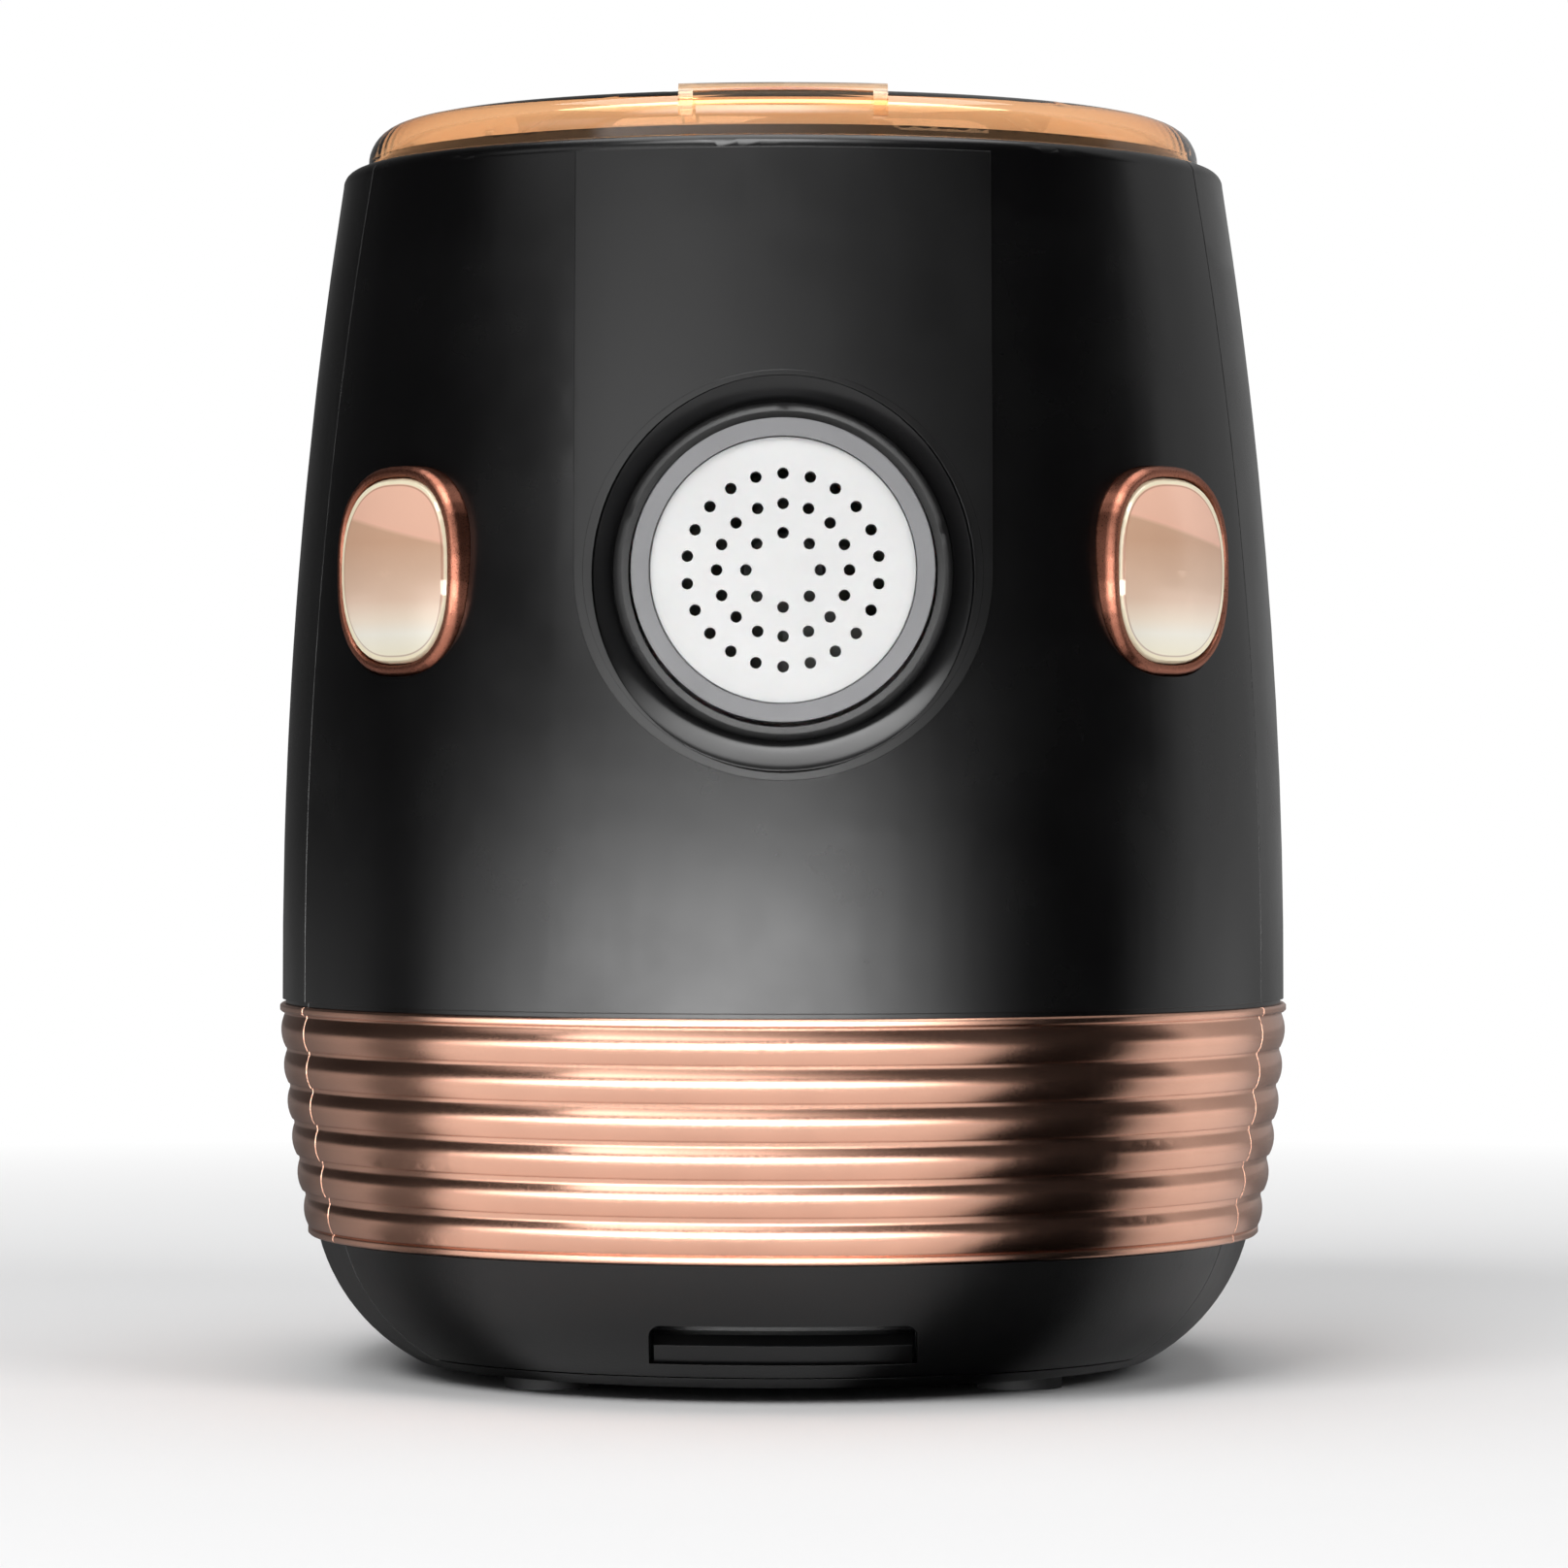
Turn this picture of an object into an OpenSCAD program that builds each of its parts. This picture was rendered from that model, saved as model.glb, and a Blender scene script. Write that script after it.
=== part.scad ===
/* [Body] */
// Half-width of the body where it is widest
body_r = 109; // [106:0.5:112]
// Straight stretch of the oval plan, from the centre to each half round
plan_stretch = 14.2; // [10:0.2:18]
// Radius of the body's upright barrel curve
body_curve = 1120; // [900:20:1500]
// Height at which the barrel curve is upright
belly_z = 85; // [80:1:110]
// Height of the housing's top rim
rim_z = 260; // [256:0.5:266]
// Wall thickness of the housing shells
wall = 2.5; // [2:0.1:3]
// Rounding of the top rim
rim_round = 3; // [2:0.25:4]
// Depth position of the joint between front cover and rear shell
seam_y = -54; // [-58:0.5:-50]
// Width of the joint between front and rear halves
seam_gap = 0.4; // [0.3:0.05:0.6]

/* [Band] */
// Height of the trim band's lower edge
band_z = 30; // [28:0.5:32]
// Height of the trim band
band_h = 50; // [48:0.5:52]
// How far the band's top edge lies inside the body's side
band_inset = 0.3; // [0:0.1:0.8]
// How far the band's lower edge stands out of the base
band_step = 1.2; // [0.6:0.1:1.8]
// Radius of the band's upright curve
band_curve = 312; // [260:4:400]
// Wall thickness of the band
band_wall = 2.4; // [2:0.1:2.8]
// Number of ribs on the band
band_ribs = 6; // [5:1:7]
// Height of each rib
rib_h = 7.5; // [6.6:0.1:7.7]
// How far a rib stands out of the band
rib_relief = 0.9; // [0.5:0.1:1.2]
// Height of the plain lip along each edge of the band
band_lip = 1.8; // [1.4:0.1:2.4]

/* [Base] */
// Height of the sole above the ground
sole_z = 3; // [2.5:0.25:4]
// Thickness of the sole plate
sole_t = 2.2; // [2:0.1:3]
// Radius of the base's rounded side
base_curve = 41.8; // [40:0.2:44]
// Half-width of the base at its top edge
base_top_r = 101.2; // [100.8:0.1:101.6]
// Height of the centre of the base's rounded side
base_curve_z = 40; // [38:0.5:42]
// Radius of a rubber foot
foot_r = 9; // [7:0.5:10]
// Sideways distance of the feet from the centre
foot_x = 50; // [44:1:54]
// Distance of the feet in front of and behind the centre
foot_y = 58; // [50:1:62]

/* [Nozzle] */
// Height of the nozzle's and mixing shaft's axis
nozzle_z = 170.5; // [168:0.5:173]
// Outer radius of the retaining ring
ring_r = 30.7; // [29.6:0.1:31.4]
// Radius of the opening in the retaining ring's front
ring_lip_r = 27; // [26:0.1:27.6]
// How far the ring's front lies from the centre plane
ring_front_y = 122.3; // [120:0.1:123]
// Length of the retaining ring
ring_len = 22; // [18:0.5:24]
// Radius of the opening of the dish around the ring
dish_r = 40.6; // [39:0.2:41.4]
// Depth of the dish around the ring
dish_depth = 15; // [13:0.25:16]
// Rounding at the bottom of the dish
dish_fillet = 5; // [3:0.5:6]
// Flare of the dish's side, in degrees
dish_flare = 14; // [8:1:16]
// Half-width of the raised panel around the dish
bib_r = 42.5; // [42:0.25:46]
// Half-width of the raised panel where it stands out furthest
bib_front_r = 109.4; // [108.8:0.1:110]
// Radius of the raised panel's upright curve
bib_curve = 612; // [540:12:700]
// Height at which the raised panel is upright
bib_belly_z = 130; // [124:1:140]
// Thickness of the die disc's flange
die_t = 5.8; // [4:0.2:7]
// Radius of a noodle hole
hole_r = 1.17; // [0.8:0.01:1.4]
// Radii of the three rings of noodle holes
hole_rings = [19.5, 13.4, 7.5];
// Number of holes in each ring
hole_counts = [22, 16, 8];

/* [Buttons] */
// Direction of each release button, in degrees to the side of straight ahead
button_angle = 48.5; // [44:0.5:52]
// Height of the release buttons' centres
button_z = 171.5; // [164:0.5:178]
// Width of a button's bezel
bezel_w = 40; // [36:0.5:42]
// Height of a button's bezel
bezel_h = 43.5; // [40:0.5:46]
// Width of the bezel's rim around the cap
bezel_rim = 2.2; // [1.6:0.1:2.6]
// How far the bezel stands out of the body
bezel_proud = 2; // [1:0.25:3]
// Height of the slanted outer edge of the bezel
bezel_round = 1.2; // [0.6:0.1:1.4]
// How far the cap stands out of the bezel
cap_proud = 1.6; // [1:0.1:2.4]
// Travel of a release button
button_travel = 3; // [2:0.25:4]
// Radius of a button's plunger
plunger_r = 6; // [5:0.25:7]
// Length of a button's return spring
button_spring_len = 10; // [8:0.5:12]

/* [Bowl] */
// Inner radius of the mixing bowl's round bottom
bowl_r = 40; // [38:0.25:41]
// Half-width of the mixing bowl's opening
bowl_top_x = 58; // [54:0.5:59]
// Front end of the inside of the mixing bowl
bowl_front_y = -63; // [-64:0.5:-58]
// Rear end of the inside of the mixing bowl
bowl_rear_y = 45.5; // [43:0.5:46]
// Wall thickness of the mixing bowl
bowl_wall = 2.5; // [2:0.1:2.8]
// Inner radius of the extruding barrel
barrel_r = 22; // [20:0.25:22.5]
// Wall thickness of the extruding barrel
barrel_wall = 3; // [2.5:0.1:3.5]
// Front end of the extruding barrel's nose
nose_y = -112; // [-113:0.25:-110]

/* [Auger] */
// Radius of the auger's core
core_r = 8; // [7:0.25:9]
// Axial thickness of the auger's flight
flight_t = 4; // [3:0.25:5]
// Advance of the flight in one turn
flight_lead = 24; // [20:1:30]
// Length of the flight
flight_len = 66; // [60:1:72]
// Reach of the mixing paddles from the shaft's axis
paddle_reach = 37; // [34:0.5:38]
// Number of mixing paddles
paddle_count = 3; // [2:1:4]

/* [Lid] */
// Distance of the lid's side inside the housing's rim
lid_inset = 5.4; // [4.5:0.1:6.5]
// Height of the lid above the rim
lid_h = 10; // [8:0.5:12]
// Rounding of the lid's shoulder
lid_round = 8; // [5:0.25:8]
// Wall thickness of the lid
lid_wall = 2.5; // [2:0.1:3]
// Depth position of the lid's rear edge
lid_rear_y = 52; // [50:0.5:54]
// Width of the lid's front grip
grip_w = 43; // [36:1:50]
// Thickness of the lid's front grip
grip_t = 1.5; // [1:0.1:2]
// Radius of the hinge pin
hinge_pin_r = 1.5; // [1.2:0.1:1.8]

/* [Drive] */
// Number of teeth of each pinion
pinion_teeth = 12; // [11:1:14]
// Number of teeth of the first idler's wheel
wheel_a_teeth = 48; // [46:1:50]
// Number of teeth of the second idler's wheel
wheel_b_teeth = 45; // [44:1:47]
// Number of teeth of the output gear
output_teeth = 48; // [46:1:50]
// Tooth module of the first two gear pairs
fine_module = 1.25; // [1.2:0.01:1.3]
// Tooth module of the last gear pair
coarse_module = 1.5; // [1.45:0.01:1.55]
// Free play between meshing teeth
backlash = 0.3; // [0.2:0.05:0.4]
// Height of the motor's axis
motor_z = 72; // [70:0.5:74]
// Radius of the motor's can
motor_r = 29; // [26:0.5:31]
// Length of the motor's can
motor_len = 64; // [56:1:68]
// Radius of the motor's shaft
motor_shaft_r = 3; // [2.5:0.1:3.5]
// Number of blades of the cooling fan
fan_blades = 7; // [5:1:9]

/* [Drawer] */
// Half-width of the drawer's tray
tray_x = 56; // [48:0.5:58]
// Length of the drawer's tray
tray_len = 84; // [70:1:90]
// Width of the finger notch in the drawer's front
notch_w = 55; // [48:0.5:60]
// Lower edge of the finger notch
notch_z = 8.4; // [8:0.1:9]
// Height of the finger notch
notch_h = 8.5; // [7.5:0.1:9]

/* [Controls] */
// Radius of a control button
key_r = 7; // [5.5:0.25:8]
// Distance between the control buttons
key_pitch = 24; // [20:0.5:26]
// Travel of a control button
key_travel = 0.8; // [0.5:0.1:1]

/* [Fits] */
// Gap between pieces that move past each other
clear = 0.3; // [0.2:0.05:0.4]
// Radial gap of a shaft in its bearing
run = 0.05; // [0.03:0.01:0.08]

/* [Hidden] */

$fn = 48;
sweep_fn = 96;   // facets of a full turn of the housing
curve_fn = 900;  // facets of a very large circle
far = 400;       // longer than the whole machine

housing_black = [0.07, 0.07, 0.075];
rose_gold = [0.86, 0.56, 0.47];
inner_grey = [0.62, 0.63, 0.65];
steel = [0.72, 0.73, 0.75];
zinc = [0.6, 0.62, 0.64];
white_nylon = [0.93, 0.92, 0.88];
rubber_grey = [0.22, 0.22, 0.23];
amber = [0.62, 0.33, 0.12, 0.55];
board_green = [0.1, 0.36, 0.2];

// Heights
band_top_z = band_z + band_h;
sole_top_z = sole_z + sole_t;
chassis_t = 3;
chassis_top_z = band_z + chassis_t;

// Half-width of the body, the band, the base and the raised panel at a height
function bulge(edge_r, curve, rise) = edge_r - curve + sqrt(pow(curve, 2) - pow(rise, 2));
function body_at(z) = bulge(body_r, body_curve, z - belly_z);
function bib_at(z) = bulge(bib_front_r, bib_curve, z - bib_belly_z);
function base_at(z) = base_cx + sqrt(pow(base_curve, 2) - pow(z - base_curve_z, 2));
function band_at(z) = band_c[0] + sqrt(pow(band_curve, 2) - pow(z - band_c[1], 2));

// Centre of the arc of radius r through p and q that bulges away from the axis
function arc_centre(p, q, r) =
    let(d = q - p, n = [-d[1], d[0]] / norm(d))
    (p + q) / 2 - n * sqrt(pow(r, 2) - pow(norm(d) / 2, 2));

band_top_r = body_at(band_top_z) - band_inset;
band_low_r = base_top_r + band_step;
band_c = arc_centre([band_top_r, band_top_z], [band_low_r, band_z], band_curve);
base_cx = base_top_r - sqrt(pow(base_curve, 2) - pow(band_z - base_curve_z, 2));

// Groove between the body and the band
groove_depth = 0.7;
groove_h = 1;

// Top rim: the lid and the bowl's rim lie in a seat inside the housing's rim
rim_r = body_at(rim_z - rim_round);
lid_r = rim_r - lid_inset;
seat_r = lid_r + 0.8;
ledge_r = seat_r - 3;
flange_t = 2.5;
flange_z = rim_z - flange_t;
flange_r = seat_r - clear;
ledge_z = flange_z - clear;
ledge_t = 2.2;

// Nozzle
nozzle_front_y = plan_stretch + bib_at(nozzle_z);
cover_hole_r = ring_r + 0.8;
dish_floor_y = nozzle_front_y - dish_depth;
dish_rise = dish_fillet * (1 - sin(dish_flare));
dish_side_r = dish_r - (dish_depth - dish_rise) * tan(dish_flare);
dish_floor_r = dish_side_r - dish_fillet * cos(dish_flare);
ring_bore_r = barrel_r + barrel_wall + 3;
ring_lip_t = 2.7;
nose_len = 14;
seal_t = 1.2;
die_back_y = nose_y - seal_t - 0.4;
die_flange_r = ring_bore_r - 0.2;
die_boss_r = ring_lip_r - 0.2;
die_boss_t = 2;

// Release buttons
cap_skirt = 4;
cup_floor_z = -(cap_skirt + button_spring_len);
cup_floor_t = 2;
cap_w = bezel_w - 2 * bezel_rim - 2 * clear;
cap_h = bezel_h - 2 * bezel_rim - 2 * clear;
cap_dome = 2.4;
cap_edge = 0.9;   // height of the slanted edge round the cap
cap_lean = 0.6;   // how far that edge leans inwards per height
plunger_reach = 14;
plunger_end_z = cup_floor_z - cup_floor_t - plunger_reach;
catch_z = plunger_end_z - button_travel - 2;
catch_t = 1.2;
oval_power = 2.6;
oval_points = 48;
spring_wire_r = 0.6;
spring_turns = 4;

// Drive
motor_face_y = 57;
plate_t = 3;
gear_a_y = motor_face_y + plate_t + 2;
gear_t = 7;
gear_b_y = gear_a_y + gear_t + 1.5;
gear_out_y = gear_b_y + gear_t + 1.5;
output_gear_t = 9;
rear_plate_y = gear_out_y + output_gear_t + 2;
gearbox_end_y = rear_plate_y + plate_t;
axle_r = 3;
shaft_r = 6;
bearing_r = 11;
post_r = 4;
post_x = 46;
post_low_z = chassis_top_z + 27;
post_high_z = nozzle_z + 29.5;
motor_front_y = motor_face_y - motor_len;
bell_len = 12;
fan_y = motor_front_y - bell_len - 12;
fan_t = 9;
fan_r = motor_r - 2;
fan_pitch = 32;
wheel_tip = 0.75;   // height of a tooth above the pitch circle, in modules
pinion_tip = 1;
motor_axis = [0, motor_z];
output_axis = [0, nozzle_z];
first_pair_angle = 25;
function pair_distance(m, t1, t2) = m * (t1 + t2) / 2;
pair_1 = pair_distance(fine_module, pinion_teeth, wheel_a_teeth);
pair_2 = pair_distance(fine_module, pinion_teeth, wheel_b_teeth);
pair_3 = pair_distance(coarse_module, pinion_teeth, output_teeth);
axis_a = motor_axis + pair_1 * [sin(first_pair_angle), cos(first_pair_angle)];
axis_b = third_corner(axis_a, output_axis, pair_2, pair_3);

// The point at distance a from p and b from q, to the left of the way from p to q
function third_corner(p, q, a, b) =
    let(d = norm(q - p), u = (q - p) / d, along = (a * a - b * b + d * d) / (2 * d))
    p + along * u + sqrt(a * a - along * along) * [-u[1], u[0]];
function heading(p, q) = atan2(q[1] - p[1], q[0] - p[0]);

// Bowl, auger and paddles
bowl_axis_h = flange_z - nozzle_z;
bowl_back_y = bowl_rear_y + bowl_wall;
hex_r = 6.5;
socket_len = 12;
auger_end_y = bowl_rear_y - 2;
auger_tip_y = nose_y + 5;
paddle_y = [-24, -2, 20];

// Board, vents and cord gland
board_x = [-86, -38];
board_y = [-34, 36];
board_z = chassis_top_z + 8;
vent_z = nozzle_z - 44;
vent_h = 34;
gland_z = band_top_z + 17;
gland_pocket_y = plan_stretch + body_at(gland_z) - 10;
gland_r = 8;
cord_r = 3.5;

// Lid hinge
hinge_y = lid_rear_y + 4.5;
hinge_z = rim_z + 4;
knuckle_r = 3.4;
lid_knuckle = [19, 29.6];
deck_knuckle = [30, 40];

// Drawer
tray_front_y = -70;
tray_wall = 1.6;
tray_top_z = band_z - 3;
notch_depth = 9;
pocket_r = base_at(notch_z) - notch_depth;
screw_r = 1.8;
screw_head_r = 3.6;
screw_x = base_top_r - 31.2;
screw_y = 35;
screw_spots = [for (x = [-1, 1], y = [-1, 1]) [x * screw_x, y * screw_y]];

// Controls
deck_y = lid_rear_y + 1;
key_y = lid_rear_y + 28;
key_rise = 1.4;
key_flange_t = 1.3;
board_t = 1.6;

// Children lie in a plane of width and height, and run from y0 to y1
module along_y(y0, y1) {
    translate([0, y1, 0]) rotate([90, 0, 0]) linear_extrude(y1 - y0) children();
}

// A round bar along Y
module bar(at, r, y0, y1) {
    translate([at[0], y1, at[1]]) rotate([90, 0, 0]) cylinder(r = r, h = y1 - y0);
}

// Turns a half profile round the front half of the oval plan
module oval_front() {
    translate([0, -plan_stretch, 0])
        rotate_extrude(angle = 180, start = 180, $fn = sweep_fn) children();
}

// Carries the half profile through the straight middle and round the rear half
module oval_rest() {
    translate([0, plan_stretch, 0])
        rotate_extrude(angle = 180, start = 0, $fn = sweep_fn) children();
    for (side = [0, 1])
        mirror([side, 0, 0]) along_y(-plan_stretch, plan_stretch) children();
}

module front_half() {
    difference() {
        oval_front() children();
        translate([-far / 2, seam_y - seam_gap / 2, -1]) cube([far, far, far]);
    }
}

module rear_half() {
    difference() {
        union() {
            oval_front() children();
            oval_rest() children();
        }
        translate([-far / 2, seam_y + seam_gap / 2 - far, -1]) cube([far, far, far]);
    }
}

// Half profile of the body, with its rounded rim and the groove over the band
module body_outline() {
    difference() {
        intersection() {
            translate([body_r - body_curve, belly_z]) circle(r = body_curve, $fn = curve_fn);
            translate([0, band_top_z]) square([body_r + 1, rim_z - rim_round - band_top_z]);
        }
        translate([body_at(band_top_z) - groove_depth, band_top_z - 1]) square([wall, groove_h + 1]);
    }
    translate([0, rim_z - rim_round]) square([rim_r - rim_round, rim_round]);
    intersection() {
        translate([rim_r - rim_round, rim_z - rim_round]) circle(r = rim_round);
        translate([rim_r - rim_round, rim_z - rim_round]) square(rim_round);
    }
}

// Half profile of the space inside the body, with the ledge for the bowl's rim
module body_hollow() {
    intersection() {
        translate([body_r - body_curve, belly_z]) circle(r = body_curve - wall, $fn = curve_fn);
        translate([0, band_top_z - 1]) square([body_r + 1, ledge_z - ledge_t - band_top_z + 1]);
    }
    translate([0, band_top_z]) square([ledge_r, rim_z]);
    translate([0, ledge_z]) square([seat_r, rim_z]);
}

module body_wall() {
    difference() {
        body_outline();
        body_hollow();
    }
}

// Half profile of the raised panel, filled to the axis
module bib_outline(inset = 0) {
    intersection() {
        translate([bib_front_r - bib_curve, bib_belly_z])
            circle(r = bib_curve - inset, $fn = curve_fn);
        translate([0, nozzle_z - bib_r - 1])
            square([far, rim_z - rim_round - nozzle_z + bib_r + 1]);
    }
}

module bib_wall() {
    difference() {
        bib_outline();
        translate([body_r - body_curve, belly_z]) circle(r = body_curve - wall, $fn = curve_fn);
    }
}

// Half profile of the dish around the ring, from its floor outwards
module dish_outline() {
    out = 2 * dish_depth;
    square([dish_floor_r, out]);
    intersection() {
        translate([dish_floor_r, dish_fillet]) circle(r = dish_fillet, $fn = sweep_fn);
        translate([dish_floor_r, 0]) square([dish_fillet, dish_rise]);
    }
    polygon([[dish_floor_r - 1, dish_rise], [dish_side_r, dish_rise],
        [dish_side_r + (out - dish_rise) * tan(dish_flare), out], [dish_floor_r - 1, out]]);
}

// Half profile of the ribbed band, with a plain lip along each edge
module band_outline() {
    edge = 0.4;
    pitch = (band_h - 2 * band_lip) / band_ribs;
    bow = (pow(rib_h / 2, 2) + pow(rib_relief, 2)) / (2 * rib_relief);
    intersection() {
        difference() {
            translate(band_c) circle(r = band_curve, $fn = curve_fn / 2);
            translate(band_c) circle(r = band_curve - band_wall, $fn = curve_fn / 2);
        }
        translate([body_r / 2, band_z]) square([body_r, band_h]);
    }
    for (i = [0 : band_ribs - 1]) {
        rib_z = band_top_z - band_lip - (i + 0.5) * pitch;
        intersection() {
            translate([band_at(rib_z) + rib_relief - bow, rib_z]) circle(r = bow);
            translate([band_at(rib_z) - band_wall / 2, rib_z - rib_h / 2]) square([band_wall, rib_h]);
        }
    }
    for (z = [band_z, band_top_z - band_lip]) {
        root_r = band_at(z + band_lip / 2) - band_wall / 2;
        lip_r = band_at(z + band_lip / 2) + rib_relief;
        polygon([[root_r, z], [lip_r - edge, z], [lip_r, z + edge], [lip_r, z + band_lip - edge],
            [lip_r - edge, z + band_lip], [root_r, z + band_lip]]);
    }
}

// Half profile of the base between two heights, filled to the axis
module base_outline(z0, z1, inset = 0) {
    intersection() {
        union() {
            translate([base_cx, base_curve_z]) circle(r = base_curve - inset, $fn = 2 * sweep_fn);
            square([base_cx, 2 * base_curve_z]);
        }
        translate([0, z0]) square([far, z1 - z0]);
    }
}

module base_wall(z0, z1) {
    difference() {
        base_outline(z0, z1);
        base_outline(z0 - 1, z1 + 1, wall);
    }
}

// Squarish oval, the outline of the release buttons
module soft_oval(w, h) {
    function bent(x) = sign(x) * pow(abs(x), 2 / oval_power);
    polygon([for (i = [0 : oval_points - 1])
        let(a = (i + 0.5) * 360 / oval_points)
        [w / 2 * bent(cos(a)), h / 2 * bent(sin(a))]]);
}

// Slab of that outline whose side leans inwards on the way up
module leaning_oval(w, h, z0, z1, lean) {
    translate([0, 0, z0])
        linear_extrude(z1 - z0, scale = [1 - 2 * lean / w, 1 - 2 * lean / h], slices = 1)
            soft_oval(w, h);
}

// Frame of a release button: +Z points straight out of the housing
module at_button(side) {
    translate([0, -plan_stretch, button_z])
        rotate([0, 0, side * button_angle])
            translate([0, -body_at(button_z), 0])
                rotate([90, 0, 0])
                    children();
}

// Involute gear outline. tip is the height of a tooth above the pitch circle.
module gear_outline(m, teeth, tip, turn) {
    pitch_r = m * teeth / 2;
    base_r = pitch_r * cos(20);
    root_r = pitch_r - 1.25 * m;
    tip_r = pitch_r + tip * m;
    half_tooth = 90 / teeth - (backlash / 4) / pitch_r * 180 / PI;
    function roll(r) = r > base_r ? tan(acos(base_r / r)) * 180 / PI - acos(base_r / r) : 0;
    function flank(r) = half_tooth + roll(pitch_r) - roll(r);
    radii = [root_r, max(root_r, base_r), pitch_r, (pitch_r + tip_r) / 2, tip_r];
    polygon([for (i = [0 : teeth - 1], k = [0 : 9])
        let(r = radii[k < 5 ? k : 9 - k], side = k < 5 ? -1 : 1)
        let(a = turn + i * 360 / teeth + side * flank(r))
        r * [cos(a), sin(a)]]);
}

// A wheel has a gap, and its pinion a tooth, on the line between their axes
module wheel(at, from, m, teeth, y0, y1) {
    along_y(y0, y1) translate(at)
        gear_outline(m, teeth, wheel_tip, heading(at, from) + 180 / teeth);
}

module pinion(at, to, m, y0, y1) {
    along_y(y0, y1) translate(at)
        gear_outline(m, pinion_teeth, pinion_tip, heading(at, to));
}

module front_shell() {
    color(housing_black)
    difference() {
        union() {
            front_half() body_wall();
            intersection() {
                front_half() bib_wall();
                along_y(-far / 2, seam_y) union() {
                    translate([0, nozzle_z]) circle(r = bib_r);
                    translate([-bib_r, nozzle_z]) square([2 * bib_r, far]);
                }
            }
            intersection() {
                front_half() bib_outline(1);
                bar([0, nozzle_z], bib_r - 0.5, -far / 2, wall - dish_floor_y);
            }
        }
        bar([0, nozzle_z], cover_hole_r, -far / 2, seam_y);
        translate([0, -dish_floor_y, nozzle_z]) rotate([90, 0, 0])
            rotate_extrude($fn = sweep_fn) dish_outline();
        for (side = [-1, 1])
            at_button(side) translate([0, 0, -far / 8])
                linear_extrude(far / 4) soft_oval(bezel_w + clear, bezel_h + clear);
    }
}

module front_band() {
    color(rose_gold) front_half() band_outline();
}

module rear_band() {
    color(rose_gold) rear_half() band_outline();
}

// Cup that holds a release button, its spring and its plunger
module button_bezel(side) {
    cup_z = cup_floor_z - cup_floor_t;
    color(rose_gold) at_button(side) difference() {
        union() {
            translate([0, 0, cup_z])
                linear_extrude(bezel_proud - bezel_round - cup_z) soft_oval(bezel_w, bezel_h);
            leaning_oval(bezel_w, bezel_h, bezel_proud - bezel_round, bezel_proud, 0.7 * bezel_round);
        }
        translate([0, 0, cup_floor_z])
            linear_extrude(far / 8) soft_oval(bezel_w - 2 * bezel_rim, bezel_h - 2 * bezel_rim);
        translate([0, 0, cup_z - 1]) cylinder(r = plunger_r + clear, h = cup_floor_t + 2);
    }
}

module left_button_bezel() { button_bezel(-1); }
module right_button_bezel() { button_bezel(1); }

module release_button(side) {
    cap_top = bezel_proud + cap_proud + 1;
    edge_z = cap_top - cap_dome - cap_edge;
    dome_r = (pow(cap_h / 2, 2) + pow(cap_dome, 2)) / (2 * cap_dome);
    color(rose_gold) at_button(side) {
        intersection() {
            union() {
                translate([0, 0, -cap_skirt]) linear_extrude(edge_z + cap_skirt) soft_oval(cap_w, cap_h);
                leaning_oval(cap_w, cap_h, edge_z, cap_top, cap_lean * (cap_top - edge_z));
            }
            translate([0, 0, cap_top - dome_r]) sphere(r = dome_r, $fn = 2 * sweep_fn);
        }
        translate([0, 0, plunger_end_z]) cylinder(r = plunger_r, h = -cap_skirt - plunger_end_z);
    }
}

module left_release_button() { release_button(-1); }
module right_release_button() { release_button(1); }

// Coil spring along +Z from z = 0, of the given height
module coil_spring(r, wire_r, h, turns) {
    steps = 12;
    sides = 6;
    rings = turns * steps;
    climb = (h - 2 * wire_r) / rings;
    points = [for (i = [0 : rings], k = [0 : sides - 1])
        let(a = i * 360 / steps, b = k * 360 / sides, q = r + wire_r * cos(b))
        [q * cos(a), q * sin(a), wire_r + i * climb + wire_r * sin(b)]];
    faces = [for (i = [0 : rings - 1], k = [0 : sides - 1])
        let(n = (k + 1) % sides)
        [i * sides + k, (i + 1) * sides + k, (i + 1) * sides + n, i * sides + n]];
    ends = [[for (k = [0 : sides - 1]) k], [for (k = [0 : sides - 1]) rings * sides + sides - 1 - k]];
    polyhedron(points, concat(faces, ends));
}

module button_spring(side) {
    color(steel) at_button(side) translate([0, 0, cup_floor_z])
        coil_spring(plunger_r + 2.2, spring_wire_r, button_spring_len, spring_turns);
}

module left_button_spring() { button_spring(-1); }
module right_button_spring() { button_spring(1); }

module rear_shell() {
    color(housing_black)
    difference() {
        union() {
            rear_half() body_wall();
            bar([0, gland_z], gland_r + 6, gland_pocket_y - 2, gland_pocket_y + 8);
        }
        bar([0, gland_z], gland_r + 4, gland_pocket_y, far / 2);
        bar([0, gland_z], gland_r + 0.05, gland_pocket_y - 3, far / 2);
        for (i = [-4 : 4])
            translate([8 * i - 2, motor_face_y, vent_z]) cube([4, far, vent_h]);
    }
}

module base_shell() {
    color(housing_black) rear_half() base_wall(sole_top_z, band_z);
}

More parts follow.
